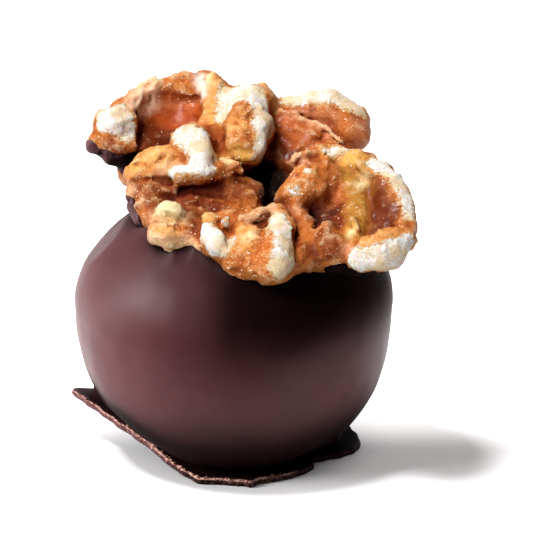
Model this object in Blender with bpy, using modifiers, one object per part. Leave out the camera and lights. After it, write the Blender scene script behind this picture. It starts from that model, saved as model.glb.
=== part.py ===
"""A dipped chocolate truffle: a ball of dark chocolate standing on its own run-off foot, with a walnut
half pressed into its top. Two nodes, one closed solid each. Origin on the ground under the ball's axis,
+Z up, +Y to the back. Metres in the scene, millimetres in the constants."""
import math

import bmesh
import bpy
from mathutils import Matrix, Vector

MM = 0.001

# the ball
BALL_RADIUS = 15.0          # at its widest
WAIST_HEIGHT = 13.8         # height of the widest ring
LOWER_DEPTH = 15.74         # lower half: depth and squareness of its curve
LOWER_POWER = 2.2
UPPER_HEIGHT = 11.6         # upper half: height and squareness of its curve
UPPER_POWER = 1.8
RIGHT_SPREAD = 0.12         # the shoulders stand out to the sides by this much per millimetre above the waist
LEFT_SPREAD = 0.09
LEFT_FLAT = (22.46, 0.74, 0.672)    # a flat on the left shoulder: distance from the origin and its normal's x and z

# the run-off foot
FOOT_THICK = 0.7
ROOT_CURVE = 0.9            # height over which the ball runs out into the foot
TUCK_CURVE = 2.8            # the same where the ball is tucked in above a narrow foot
LIFT_FROM_X = -4.4          # left of this the foot leaves the ground
LIFT_SLOPE = 0.37
# plan of the foot, as (angle from +X in degrees, radius): its outer edge, and its root at the foot of the ball
FOOT_EDGE = ((0, 11.75), (7, 11.3), (20, 11.2), (45, 11.3), (75, 11.6), (105, 11.9), (130, 11.6), (150, 12.4),
             (165, 14.0), (175, 15.6), (180, 14.3), (185, 12.9), (193, 11.6), (202, 10.4), (215, 9.6), (222, 9.6),
             (236, 9.95), (246, 10.4), (254, 11.2), (264, 11.0), (275, 11.3), (278, 11.7), (283, 11.0), (296, 10.9),
             (307, 10.75), (315, 10.45), (321, 9.4), (329, 10.1), (337, 11.2), (344, 11.9), (350, 12.1), (360, 11.75))
FOOT_ROOT = ((0, 10.2), (20, 9.6), (60, 9.2), (120, 9.4), (150, 10.8), (165, 12.7), (176, 14.0), (185, 11.8),
             (193, 10.2), (202, 8.8), (215, 7.8), (236, 7.9), (254, 8.5), (283, 8.7), (307, 8.6), (322, 8.3),
             (337, 9.2), (350, 10.0), (360, 10.2))
STEPS_ROUND = 84

# the walnut half: its own frame is u to the right, v along the rim plane to the back, n out of the inner face
NUT_TILT = 25.0             # the inner face leans this far towards the front, in degrees
NUT_CENTRE = (1.5, -2.5, 27.2)
SEAT_DEPTH = 5.2            # the chocolate under the walnut is dished this far below the rim plane
SEAT_RISE = 3.6             # and rises by this much to the edge of the dish
SEAT_HALF = (12.5, 9.6)     # half sizes of the dish along u and towards the back
SEAT_FRONT = (7.4, 0.25)    # half size of the dish towards the front, and its growth along u
SOCKET_GAP = 0.42           # added to each fold's radius to cut the socket
NUT_VOXEL = 0.42
NUT_TRIANGLES = 5000

# folds of the kernel: each a run of knots, (u, v, n) and radius
FOLDS = {
    # back left lobe: outer knob, thin ridge along the back, and the cup behind it
    "left_knob": (((-12.1, 9.4, -0.2), 1.3), ((-12.9, 7.5, -0.4), 2.1), ((-14.1, 6.7, -1.3), 1.3),
                  ((-11.9, 6.2, -1.6), 1.6)),
    "back_ridge": (((-12.1, 9.4, -0.2), 1.2), ((-10.8, 10.8, 0), 1.1), ((-9.4, 12.2, 0.2), 1.1),
                   ((-7.9, 12.4, 0.3), 1.0), ((-5.0, 12.8, 0.2), 1.0)),
    "cup_top": (((-10.6, 9.6, -2.0), 1.6), ((-8.0, 11.0, -1.9), 1.5), ((-4.8, 11.2, -1.9), 1.5)),
    "cup_middle": (((-10.8, 7.6, -3.2), 1.7), ((-8.0, 8.9, -3.4), 1.8), ((-4.8, 9.2, -3.2), 1.7)),
    "cup_floor": (((-10.6, 5.5, -4.2), 1.8), ((-8.0, 6.2, -4.8), 1.9), ((-4.8, 6.6, -4.4), 1.8)),
    "cup_side": (((-4.4, 13.0, 0.2), 1.2), ((-3.5, 12.2, 0.2), 1.3), ((-3.6, 9.6, 0.1), 1.3), ((-4.0, 7.7, -0.2), 1.3)),
    # the tall knob in the middle of the back
    "tall_knob": (((-1.4, 11.6, 0), 1.3), ((-0.2, 9.3, 0.4), 2.2), ((0.1, 5.9, 0.8), 2.2), ((-0.4, 3.6, 0.4), 1.9)),
    "tall_root": (((-1.9, 11.1, -1.6), 1.6), ((-2.1, 7.5, -1.4), 1.7), ((-1.7, 4.1, -1.4), 1.6)),
    # left middle: a rubbed knob and the two folds that run out to the left
    "rubbed_knob": (((-5.7, 4.4, 0.5), 1.8), ((-4.4, 1.7, 0.3), 1.7)),
    "rubbed_root": (((-4.7, 5.7, -1.6), 1.9), ((-3.3, 3.6, -1.6), 1.9)),
    "left_ridge": (((-6.4, 2.8, 0.1), 1.5), ((-8.3, 2.6, 0), 1.3), ((-9.9, 2.6, -0.3), 1.2), ((-10.8, 2.2, -0.6), 0.9)),
    "left_fold": (((-11.0, 1.3, -0.9), 0.6), ((-9.0, 0.9, -0.5), 0.8), ((-6.6, 0.6, -0.3), 0.9),
                  ((-4.2, 1.2, -0.3), 1.0), ((-2.1, 1.9, -0.6), 1.1)),
    "left_wall": (((-10.2, 1.7, -2.2), 1.3), ((-8.0, 1.3, -2.2), 1.4), ((-5.2, 1.3, -2.2), 1.6), ((-2.4, 1.8, -2.6), 1.7)),
    # front rim and the knobs on it, left to right
    "front_rim": (((-11.2, 0.4, -1.4), 0.7), ((-10.5, -1.7, -1.4), 0.9), ((-9.1, -4.0, -1.2), 1.0),
                  ((-8.3, -6.6, -1.0), 1.25), ((-6.6, -6.3, -1.2), 1.1), ((-4.9, -6.4, -1.2), 1.1),
                  ((-2.8, -8.3, -1.0), 1.35), ((-0.7, -9.5, -1.0), 1.5), ((1.9, -10.9, -0.8), 1.4),
                  ((3.5, -10.4, -1.0), 1.1), ((4.9, -9.4, -1.1), 1.1), ((6.6, -8.8, -1.1), 1.1), ((8.5, -8.4, -1.0), 1.2)),
    "knob_1": (((-7.4, -4.4, -0.1), 1.2), ((-8.2, -6.6, -0.6), 1.2)),
    "knob_2": (((-3.5, -5.9, 0), 0.95), ((-2.6, -7.5, -0.2), 1.15), ((-2.5, -9.1, -0.5), 1.1)),
    "knob_3": (((-0.1, -8.3, -0.6), 1.6),),
    "knob_4": (((2.5, -5.2, 0), 0.8), ((2.9, -8.1, 0.2), 1.2), ((2.5, -10.9, -0.3), 1.5)),
    "knob_5": (((6.5, -6.4, -0.7), 0.8), ((6.6, -8.2, -0.8), 1.1)),
    "tongue": (((4.3, -2.3, -1.3), 1.1), ((4.7, -5.8, -1.3), 1.1)),
    # front right lobe: knob, rim, saddle and hollow
    "right_knob": (((5.0, -1.3, 0.1), 2.0), ((6.6, -0.3, 0.1), 1.6)),
    "right_root": (((4.7, -0.7, -2.0), 1.8), ((6.8, -0.5, -2.2), 2.0)),
    "right_rim": (((5.2, 1.2, 0.1), 1.1), ((6.8, 2.2, 0.2), 1.1), ((8.6, 2.7, 0.1), 1.1), ((10.4, 1.8, 0), 1.3),
                  ((11.9, 0.4, -0.1), 1.5), ((13.0, -1.6, -0.1), 1.6), ((13.8, -4.2, -0.2), 1.6), ((14.0, -6.4, -0.4), 1.5)),
    "right_bulge": (((10.4, -9.7, -0.4), 1.6), ((12.1, -9.8, -0.2), 1.9), ((13.8, -8.4, -0.3), 1.6)),
    "saddle": (((8.3, 2.5, -0.5), 1.3), ((8.3, 0, -1.1), 1.5), ((8.3, -3.1, -1.3), 1.5), ((8.7, -7.0, -1.2), 1.4)),
    "hollow": (((10.2, 1.1, -1.9), 1.9), ((11.3, -1.3, -2.2), 2.0), ((10.9, -4.3, -2.2), 2.0), ((12.8, -2.6, -2.0), 1.8)),
    # back right lobe: the smooth finger, the sheet under it and a small tongue
    "finger": (((3.6, 10.3, -0.8), 1.2), ((5.7, 10.1, -0.6), 1.6), ((7.5, 9.7, -0.5), 1.9), ((9.2, 8.5, -0.8), 2.0),
               ((9.8, 7.5, -1.0), 1.8)),
    "finger_sheet": (((1.7, 9.4, -1.8), 1.3), ((3.8, 8.5, -2.0), 1.5), ((5.8, 7.2, -2.0), 1.5), ((8.0, 5.8, -2.0), 1.2)),
    "finger_tongue": (((1.5, 11.9, 0), 0.8), ((1.7, 10.2, -0.2), 0.8)),
    # floors of the basins between them
    "front_floor": (((-9.0, -3.0, -2.9), 1.7), ((-5.0, -4.4, -2.9), 1.9), ((-1.5, -5.6, -3.0), 2.0),
                    ((2.0, -6.6, -2.8), 2.0), ((5.5, -5.8, -2.9), 2.0), ((9.0, -6.0, -2.8), 2.0), ((12.0, -5.0, -3.0), 1.9)),
    "middle_floor": (((-9.0, -0.8, -3.2), 1.7), ((-5.0, -1.4, -3.6), 2.0), ((-1.5, -2.4, -4.1), 2.0),
                     ((2.0, -3.4, -4.4), 2.0), ((5.5, -2.6, -3.9), 2.0), ((9.0, -2.0, -3.2), 2.0), ((12.0, -1.6, -3.0), 1.9)),
    "pit_floor": (((-2.5, 0.8, -5.6), 1.9), ((0.8, 1.4, -6.2), 2.0), ((4.0, 3.0, -5.8), 2.0), ((6.5, 4.5, -4.6), 1.7)),
    "rim_floor": (((-6.5, -5.4, -2.4), 1.2), ((-2.4, -6.8, -2.5), 1.5), ((1.8, -8.8, -2.3), 1.6),
                  ((5.5, -7.8, -2.5), 1.6), ((9.0, -7.4, -2.4), 1.6), ((12.2, -7.2, -2.3), 1.6), ((12.9, -4.0, -2.2), 1.5)),
    # outer side of the kernel, seven ribs from back to front
    "rib_1": (((-11.9, 7.6, -2.3), 1.6), ((-8.5, 5.4, -4.2), 1.7), ((-8.3, 1.0, -4.6), 1.7), ((-7.6, -3.0, -3.6), 1.5)),
    "rib_2": (((-8.5, 10.0, -3.2), 1.6), ((-7.6, 6.0, -5.6), 2.0), ((-6.8, 1.0, -6.2), 2.0), ((-6.4, -4.0, -4.2), 1.6)),
    "rib_3": (((-4.8, 11.0, -3.0), 1.7), ((-4.4, 6.5, -6.4), 2.1), ((-3.6, 1.0, -7.2), 2.2), ((-2.8, -4.5, -5.4), 1.9)),
    "rib_4": (((-0.8, 10.5, -2.4), 1.9), ((-0.8, 6.0, -5.5), 2.0), ((0, 0.5, -7.6), 1.9), ((0.6, -5.0, -5.6), 2.0),
              ((1.3, -8.4, -3.0), 1.5)),
    "rib_5": (((3.0, 8.0, -3.2), 1.8), ((3.2, 3.5, -6.6), 1.9), ((3.9, -1.0, -7.0), 2.1), ((4.6, -6.0, -4.8), 1.9)),
    "rib_6": (((7.2, 8.0, -2.8), 1.7), ((7.4, 3.4, -4.8), 1.9), ((7.8, -1.5, -5.8), 2.1), ((8.4, -6.0, -4.4), 1.9)),
    "rib_7": (((10.4, 1.4, -2.4), 1.6), ((11.2, -2.0, -4.2), 1.9), ((11.4, -5.6, -3.8), 1.9)),
}


def clear_scene():
    for obj in list(bpy.data.objects):
        bpy.data.objects.remove(obj)
    for collection in list(bpy.data.collections):
        bpy.data.collections.remove(collection)


def new_collection(name, helper=False):
    collection = bpy.data.collections.new(name)
    collection.hide_render = helper
    bpy.context.scene.collection.children.link(collection)
    return collection


def new_object(name, bm, collection):
    """The bmesh as an object of this collection."""
    mesh = bpy.data.meshes.new(name)
    bm.to_mesh(mesh)
    bm.free()
    obj = bpy.data.objects.new(name, mesh)
    collection.objects.link(obj)
    return obj


def surface(name, color, roughness, coat):
    material = bpy.data.materials.new(name)
    material.use_nodes = True
    shader = material.node_tree.nodes["Principled BSDF"]
    shader.inputs["Base Color"].default_value = (*color, 1)
    shader.inputs["Roughness"].default_value = roughness
    shader.inputs["Coat Weight"].default_value = coat
    return material


def applied(obj):
    """Makes the object's evaluated mesh its own and drops the modifiers."""
    graph = bpy.context.evaluated_depsgraph_get()
    mesh = bpy.data.meshes.new_from_object(obj.evaluated_get(graph))
    obj.modifiers.clear()
    old, obj.data = obj.data, mesh
    bpy.data.meshes.remove(old)


def nut_frame():
    return Matrix.Translation(NUT_CENTRE) @ Matrix.Rotation(math.radians(NUT_TILT), 4, "X")


# ---- the walnut half ----

def ball_points():
    """Points of a unit ball, a twice divided icosahedron."""
    ball = bmesh.new()
    bmesh.ops.create_icosphere(ball, subdivisions=2, radius=1)
    points = [vert.co.copy() for vert in ball.verts]
    ball.free()
    return points


def add_link(bm, ball, knot, other):
    """The hull round the spheres of two knots."""
    points = [bm.verts.new(Vector(place) + radius * point) for place, radius in {knot, other} for point in ball]
    hull = bmesh.ops.convex_hull(bm, input=points)
    spare = {item for item in hull["geom_interior"] + hull["geom_unused"] if isinstance(item, bmesh.types.BMVert)}
    bmesh.ops.delete(bm, geom=list(spare), context="VERTS")


def kernel(name, collection, extra, voxel, triangles):
    """All folds grown by extra, joined into one skin and thinned to about this many triangles."""
    bm = bmesh.new()
    ball = ball_points()
    for knots in FOLDS.values():
        grown = [(place, radius + extra) for place, radius in knots]
        for first, second in zip(grown, grown[1:] or grown):
            add_link(bm, ball, first, second)
    obj = new_object(name, bm, collection)
    remesh = obj.modifiers.new("one skin", "REMESH")
    remesh.mode = "VOXEL"
    remesh.voxel_size = voxel
    soften = obj.modifiers.new("soft valleys", "SMOOTH")
    soften.factor = 0.5
    soften.iterations = 3
    applied(obj)
    thin = obj.modifiers.new("thinned", "DECIMATE")
    thin.ratio = triangles / (2 * len(obj.data.polygons))
    applied(obj)
    obj.data.transform(Matrix.Scale(MM, 4) @ nut_frame())
    return obj


# ---- the chocolate ----

def ball_radius(z):
    if z < WAIST_HEIGHT:
        return BALL_RADIUS * (1 - ((WAIST_HEIGHT - z) / LOWER_DEPTH) ** LOWER_POWER) ** (1 / LOWER_POWER)
    return BALL_RADIUS * max(0, 1 - ((z - WAIST_HEIGHT) / UPPER_HEIGHT) ** UPPER_POWER) ** (1 / UPPER_POWER)


def around(table, angle):
    """Radius that this table gives at this angle in degrees, eased from one entry to the next."""
    for (a, ra), (b, rb) in zip(table, table[1:]):
        if a <= angle <= b:
            t = (angle - a) / (b - a)
            return ra + (rb - ra) * t * t * (3 - 2 * t)


def lift(x):
    """Height of the foot's underside above the ground: flat, then a straight rise to the left with a soft knee."""
    return max(0.0, LIFT_SLOPE * math.log1p(math.exp(min(60, 2 * (LIFT_FROM_X - x)))) / 2 - 0.002)


# rings of the spun profile from the middle of the underside to the top: (kind, share or height)
FLARE = (0.0, 0.3, 0.7, 1.3, 2.2)
PROFILE = ([("under", share) for share in (0.0, 0.15, 0.42, 0.7, 0.9, 1.0)]
           + [("edge", share) for share in (0.45, 0.85)]
           + [("top", share) for share in (0.0, 0.55)]
           + [("flare", height) for height in FLARE]
           + [("lower", share) for share in (0.2, 0.4, 0.6, 0.8, 1.0)]
           + [("upper", share) for share in (0.14, 0.28, 0.41, 0.53, 0.64, 0.74, 0.83, 0.9, 0.96, 1.0)])


def ring_point(kind, amount, angle):
    """Radius and height of one ring of the profile at this angle, before the ball is pressed."""
    edge, root = around(FOOT_EDGE, angle), around(FOOT_ROOT, angle)
    side = math.cos(math.radians(angle))
    sole = lift(edge * side)
    if kind == "under":
        return edge * amount, lift(edge * amount * side)
    if kind == "edge":
        return edge + 0.12 * math.sin(math.pi * amount), sole + FOOT_THICK * amount
    top = lift(root * side) + FOOT_THICK
    if kind == "top":
        near = sole + FOOT_THICK
        return edge - 0.06 + (root + 0.06 - edge) * amount, near + (top - near) * amount
    step = root - ball_radius(top)
    curve = ROOT_CURVE if step > 0 else TUCK_CURVE
    if kind == "upper":
        z = WAIST_HEIGHT + UPPER_HEIGHT * math.sin(0.5 * math.pi * amount)
        radius = ball_radius(z) if amount < 1 else 0.0
        spread = RIGHT_SPREAD if side > 0 else LEFT_SPREAD
        return radius + spread * (z - WAIST_HEIGHT) * side * side * min(1, radius / 6), z
    start = top + FLARE[-1]
    z = top + amount if kind == "flare" else start + (WAIST_HEIGHT - start) * amount
    return ball_radius(z) + step * math.exp(-(z - top) / curve), z


def pressed(point):
    """The point after the shoulder's flat and the walnut's dish have been pressed in."""
    distance, nx, nz = LEFT_FLAT
    over = nz * point.z - nx * point.x - distance
    if over > 0:
        point -= 0.8 * over * Vector((-nx, 0, nz))
    local = nut_frame().inverted() @ point
    front = min(9.4, max(5.5, SEAT_FRONT[0] + SEAT_FRONT[1] * local.x))
    reach = min(1.6, math.hypot(local.x / SEAT_HALF[0], (local.y + 0.5) / (SEAT_HALF[1] if local.y > -0.5 else front)))
    local.z = min(local.z, SEAT_RISE * reach ** 3 - SEAT_DEPTH) if point.z > 16 else local.z
    return nut_frame() @ local


def chocolate(collection):
    """The spun profile with each ring moved to its place, then the socket cut out of its top."""
    bm = bmesh.new()
    ring = bm.verts.layers.int.new("ring")
    line = []
    for index, (kind, amount) in enumerate(PROFILE):
        radius, z = ring_point(kind, amount, 0)
        line.append(bm.verts.new((radius, 0, z)))
        line[-1][ring] = index
    edges = [bm.edges.new(pair) for pair in zip(line, line[1:])]
    bmesh.ops.spin(bm, geom=line + edges, cent=(0, 0, 0), axis=(0, 0, 1), angle=2 * math.pi, steps=STEPS_ROUND,
                   use_merge=True)
    for vert in bm.verts:
        kind, amount = PROFILE[vert[ring]]
        angle = math.degrees(math.atan2(vert.co.y, vert.co.x)) % 360
        radius, z = ring_point(kind, amount, angle)
        turn = math.radians(angle)
        vert.co = pressed(Vector((radius * math.cos(turn), radius * math.sin(turn), z)))
    bmesh.ops.remove_doubles(bm, verts=bm.verts, dist=1e-4)
    bmesh.ops.recalc_face_normals(bm, faces=bm.faces)
    bmesh.ops.scale(bm, verts=bm.verts, vec=(MM, MM, MM))
    return new_object("chocolate", bm, collection)


def build():
    clear_scene()
    truffle = new_collection("chocolate_truffle")
    cutters = new_collection("cutters", helper=True)
    walnut = kernel("walnut", truffle, 0, NUT_VOXEL, NUT_TRIANGLES)
    walnut.data.materials.append(surface("walnut", (0.50, 0.22, 0.07), 0.55, 0.1))
    socket = kernel("socket", cutters, SOCKET_GAP, 0.6, 3000)
    socket.hide_render = True
    socket.display_type = "WIRE"
    body = chocolate(truffle)
    body.data.materials.append(surface("dark_chocolate", (0.095, 0.042, 0.038), 0.38, 0.15))
    cut = body.modifiers.new("socket", "BOOLEAN")
    cut.operation = "DIFFERENCE"
    cut.solver = "EXACT"
    cut.object = socket


build()
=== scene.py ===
"""The looks of a dipped chocolate truffle with a walnut half pressed into its top, from the kernel down:
the walnut, the chocolate with its run-off foot, the chocolate that clings to the walnut, and the loose bits."""
import math

import bmesh
import bpy
import numpy as np
from mathutils import Matrix, Vector, noise


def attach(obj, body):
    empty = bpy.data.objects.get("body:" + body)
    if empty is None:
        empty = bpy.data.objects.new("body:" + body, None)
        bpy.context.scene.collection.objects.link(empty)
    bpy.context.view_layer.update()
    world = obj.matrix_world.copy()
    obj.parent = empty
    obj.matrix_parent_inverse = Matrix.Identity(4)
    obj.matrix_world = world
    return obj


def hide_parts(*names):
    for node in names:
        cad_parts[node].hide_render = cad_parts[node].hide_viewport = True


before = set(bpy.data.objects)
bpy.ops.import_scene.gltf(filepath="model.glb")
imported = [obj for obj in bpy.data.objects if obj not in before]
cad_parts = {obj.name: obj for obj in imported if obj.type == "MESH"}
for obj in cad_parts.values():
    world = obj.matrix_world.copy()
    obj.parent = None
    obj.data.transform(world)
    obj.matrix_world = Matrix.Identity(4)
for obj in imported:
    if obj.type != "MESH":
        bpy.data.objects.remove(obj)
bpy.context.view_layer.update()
MM = 0.001


# ---- the walnut half ----
# Half of a shelled kernel, inner face up, pressed into the soft coat so that it leans towards the front.
# Its lobes, rim and cup are folds swept through knots of (u, v, n) and radius in millimetres, grown into one
# skin: u to the right, v along the rim plane to the back, n out of the inner face.
NUT_TILT = math.radians(25)
NUT_CENTRE = np.array((1.5, -2.5, 27.2))
NUT_AXES = np.array(((1, 0, 0), (0, math.cos(NUT_TILT), math.sin(NUT_TILT)),
                     (0, -math.sin(NUT_TILT), math.cos(NUT_TILT))))
GRID_STEP = 0.2
GRID_LOW = np.array((-17.4, -14.6, -10.4))
GRID_HIGH = np.array((17.6, 16.2, 4.4))
FOLD_BLEND = 0.7            # width over which one fold runs into the next

# folds of the kernel, the same as the solid has
FOLDS = {
    # back left lobe: outer knob, ridge along the back, and the cup in front of it
    "left_knob": (((-12.1, 9.4, -0.3), 1.4), ((-12.7, 7.5, -0.5), 2.2), ((-13.9, 6.6, -1.3), 1.5),
                  ((-11.9, 6.0, -1.6), 1.7)),
    "back_ridge": (((-12.0, 9.4, -0.3), 1.3), ((-10.8, 10.8, -0.1), 1.2), ((-9.4, 12.0, 0.0), 1.3),
                   ((-7.9, 12.3, 0.1), 1.2), ((-5.0, 12.6, 0.0), 1.2)),
    "cup_top": (((-10.6, 9.6, -2.0), 1.6), ((-8.0, 11.0, -1.9), 1.5), ((-4.8, 11.2, -1.9), 1.5)),
    "cup_middle": (((-10.8, 7.6, -3.2), 1.7), ((-8.0, 8.9, -3.4), 1.8), ((-4.8, 9.2, -3.2), 1.7)),
    "cup_floor": (((-10.6, 5.5, -4.2), 1.8), ((-8.0, 6.2, -4.8), 1.9), ((-4.8, 6.6, -4.4), 1.8)),
    "cup_side": (((-4.4, 12.8, 0.0), 1.3), ((-3.4, 12.0, 0.0), 1.5), ((-3.5, 9.6, -0.1), 1.5), ((-3.9, 7.7, -0.4), 1.5)),
    # the tall knob in the middle of the back
    "tall_knob": (((-1.4, 11.4, -0.1), 1.5), ((-0.3, 9.3, 0.2), 2.3), ((-0.1, 6.2, 0.6), 2.4), ((-0.4, 3.8, 0.2), 2.0)),
    "tall_root": (((-2.2, 11.1, -1.2), 1.7), ((-2.2, 7.5, -1.0), 1.9), ((-1.8, 4.1, -1.2), 1.7)),
    # left middle: a rubbed knob and the lobe and folds that run out to the left
    "rubbed_knob": (((-5.7, 4.3, 0.4), 1.9), ((-4.6, 1.8, 0.2), 1.8)),
    "rubbed_root": (((-4.7, 5.7, -1.6), 1.9), ((-3.3, 3.6, -1.6), 1.9)),
    "left_ridge": (((-6.8, 2.6, -0.1), 1.5), ((-8.3, 2.0, -0.3), 1.5), ((-9.9, 1.6, -0.6), 1.4), ((-10.9, 1.4, -1.0), 1.0)),
    "left_fold": (((-10.6, 1.0, -1.2), 0.8), ((-9.0, 0.6, -0.9), 1.0), ((-6.6, 0.4, -0.3), 1.1),
                  ((-4.2, 0.7, -0.3), 1.2), ((-2.1, 1.5, -0.8), 1.1)),
    "left_roll": (((-10.7, -0.4, -1.5), 0.6), ((-9.3, -0.7, -1.2), 0.8), ((-7.8, -0.6, -1.3), 0.7)),
    "left_wall": (((-10.2, 1.7, -2.2), 1.3), ((-8.0, 1.3, -2.2), 1.5), ((-5.2, 1.3, -2.2), 1.7), ((-2.4, 1.8, -2.6), 1.7)),
    # front rim and the knobs on it, left to right
    "front_rim": (((-10.6, 0.2, -1.6), 0.7), ((-9.5, -1.9, -1.6), 0.8), ((-8.3, -4.2, -1.5), 0.9),
                  ((-7.8, -6.5, -1.3), 1.2), ((-6.8, -6.7, -1.5), 1.25), ((-4.9, -6.6, -1.5), 1.2),
                  ((-2.8, -8.3, -1.2), 1.4), ((-0.7, -9.5, -1.2), 1.6), ((1.9, -10.9, -0.9), 1.45),
                  ((3.5, -10.2, -1.2), 1.2), ((4.9, -9.1, -1.3), 1.25), ((6.6, -8.6, -1.3), 1.25), ((8.7, -8.4, -1.1), 1.3)),
    "knob_1": (((-7.2, -4.8, -0.3), 1.5), ((-7.7, -6.6, -1.0), 1.3)),
    "knob_2": (((-3.4, -6.2, -0.1), 0.95), ((-3.2, -7.4, -0.5), 1.15), ((-2.8, -8.8, -0.6), 1.25)),
    "knob_3": (((-0.2, -7.4, -0.9), 1.5), ((0.2, -9.6, -1.2), 1.6)),
    "knob_4": (((2.8, -5.3, -0.1), 0.9), ((2.9, -8.1, 0.0), 1.3), ((2.6, -10.9, -0.4), 1.6)),
    "knob_5": (((7.2, -6.9, -0.9), 1.0), ((7.4, -8.7, -1.0), 1.15)),
    "tongue": (((4.5, -2.9, -1.5), 1.2), ((4.8, -5.4, -1.3), 1.15), ((4.9, -7.2, -1.7), 1.1)),
    # front right lobe: knob, rim, and a smooth slope that falls from the rim into a hollow
    "right_knob": (((4.5, -2.1, -0.6), 2.1), ((5.5, -1.4, -0.4), 2.2), ((7.1, 0.0, -0.3), 1.9)),
    "right_root": (((4.7, -0.7, -2.0), 1.8), ((6.8, -0.5, -2.2), 2.0)),
    "right_rim": (((5.2, 1.4, -0.1), 1.2), ((6.8, 2.2, 0.1), 1.2), ((8.6, 2.6, 0.0), 1.2), ((10.4, 1.8, -0.1), 1.4),
                  ((11.9, 0.4, -0.2), 1.6), ((12.8, -1.6, -0.2), 1.6), ((13.3, -4.2, -0.3), 1.6), ((13.5, -6.4, -0.5), 1.5)),
    "right_bulge": (((10.6, -9.6, -0.5), 1.7), ((12.1, -9.6, -0.3), 2.0), ((13.2, -8.4, -0.4), 1.7)),
    "saddle": (((9.0, 1.2, -1.1), 1.7), ((9.7, -1.6, -1.5), 1.8), ((9.7, -4.4, -1.5), 1.9), ((9.4, -7.0, -1.2), 1.6)),
    "hollow": (((11.0, -0.4, -1.8), 1.9), ((12.0, -2.6, -2.1), 2.0), ((12.3, -4.8, -2.1), 2.0), ((12.0, -6.8, -1.8), 2.0)),
    "valley": (((7.6, -1.6, -1.8), 1.8), ((7.6, -3.4, -2.2), 1.8), ((7.2, -4.8, -3.3), 1.8), ((8.4, -5.8, -2.4), 1.8)),
    # back right lobe: the smooth finger, the sheet under it and a small tongue
    "finger": (((3.6, 10.3, -0.8), 1.3), ((5.7, 10.0, -0.7), 1.7), ((7.5, 9.5, -0.6), 2.0), ((9.2, 8.4, -0.9), 2.0),
               ((9.8, 7.4, -1.0), 1.8)),
    "finger_sheet": (((1.7, 9.2, -1.3), 1.4), ((3.8, 8.1, -1.4), 1.6), ((5.8, 6.8, -1.5), 1.6), ((8.0, 5.6, -1.7), 1.3)),
    "sheet_root": (((2.0, 6.6, -2.6), 1.5), ((4.4, 5.6, -2.8), 1.5), ((6.6, 4.8, -2.6), 1.4)),
    "finger_tongue": (((1.4, 11.8, 0), 0.8), ((1.8, 10.2, -0.1), 0.9)),
    # what fills the ground between them
    "left_fill": (((-9.4, -1.2, -2.3), 1.0), ((-8.6, -3.0, -2.3), 1.1), ((-7.6, -3.6, -2.6), 1.4)),
    "front_slope": (((-5.4, -3.4, -2.1), 1.4), ((-5.3, -5.6, -1.8), 1.3)),
    "basin_lump": (((-1.2, -0.3, -2.8), 1.4), ((0.2, -0.6, -2.8), 1.4)),
    "pit_lip": (((-2.6, 0.4, -2.6), 1.5), ((-1.0, 0.8, -2.9), 1.5), ((0.0, 1.0, -2.5), 1.1)),
    "basin_ridge": (((-2.0, -3.4, -2.5), 1.3), ((1.2, -4.2, -2.3), 1.3)),
    "front_floor": (((-8.0, -3.0, -2.8), 1.4), ((-5.0, -4.2, -2.7), 1.9), ((-1.5, -5.4, -2.6), 2.0),
                    ((2.0, -6.2, -2.6), 2.0), ((5.5, -5.6, -3.5), 2.0), ((9.0, -6.0, -2.6), 2.0), ((12.0, -5.0, -2.8), 1.9)),
    "middle_floor": (((-8.0, -0.8, -2.8), 1.4), ((-5.0, -1.4, -3.3), 2.0), ((-1.5, -2.4, -3.7), 2.0),
                     ((2.0, -3.2, -4.0), 2.0), ((5.5, -2.6, -3.9), 2.0), ((9.0, -2.0, -3.2), 2.0), ((12.0, -1.6, -3.0), 1.9)),
    "pit_floor": (((-2.5, 0.8, -5.6), 1.9), ((0.8, 1.4, -6.2), 2.0), ((4.0, 3.0, -5.8), 2.0), ((6.5, 4.5, -4.6), 1.7)),
    "rim_floor": (((-6.5, -5.4, -2.4), 1.2), ((-2.4, -6.8, -2.5), 1.5), ((1.8, -8.8, -2.3), 1.6),
                  ((5.5, -7.8, -2.5), 1.6), ((9.0, -7.4, -2.4), 1.6), ((12.2, -7.2, -2.3), 1.6), ((12.9, -4.0, -2.2), 1.5)),
    # outer side of the kernel, seven ribs from back to front
    "rib_1": (((-11.9, 7.6, -2.3), 1.6), ((-8.5, 5.4, -4.2), 1.7), ((-8.3, 1.0, -4.6), 1.7), ((-7.6, -3.0, -3.6), 1.5)),
    "rib_2": (((-8.5, 10.0, -3.2), 1.6), ((-7.6, 6.0, -5.6), 2.0), ((-6.8, 1.0, -6.2), 2.0), ((-6.4, -4.0, -4.2), 1.6)),
    "rib_3": (((-4.8, 11.0, -3.0), 1.7), ((-4.4, 6.5, -6.4), 2.1), ((-3.6, 1.0, -7.2), 2.2), ((-2.8, -4.5, -5.4), 1.9)),
    "rib_4": (((-0.8, 10.5, -2.4), 1.9), ((-0.8, 6.0, -5.5), 2.0), ((0, 0.5, -7.6), 1.9), ((0.6, -5.0, -5.6), 2.0),
              ((1.3, -8.4, -3.0), 1.5)),
    "rib_5": (((3.0, 8.0, -3.2), 1.8), ((3.2, 3.5, -6.6), 1.9), ((3.9, -1.0, -7.0), 2.1), ((4.6, -6.0, -4.8), 1.9)),
    "rib_6": (((7.2, 8.0, -2.8), 1.7), ((7.4, 3.4, -4.8), 1.9), ((7.8, -1.5, -5.8), 2.1), ((8.4, -6.0, -4.4), 1.9)),
    "rib_7": (((10.4, 1.4, -2.4), 1.6), ((11.2, -2.0, -4.2), 1.9), ((11.4, -5.6, -3.8), 1.9)),
}

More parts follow.
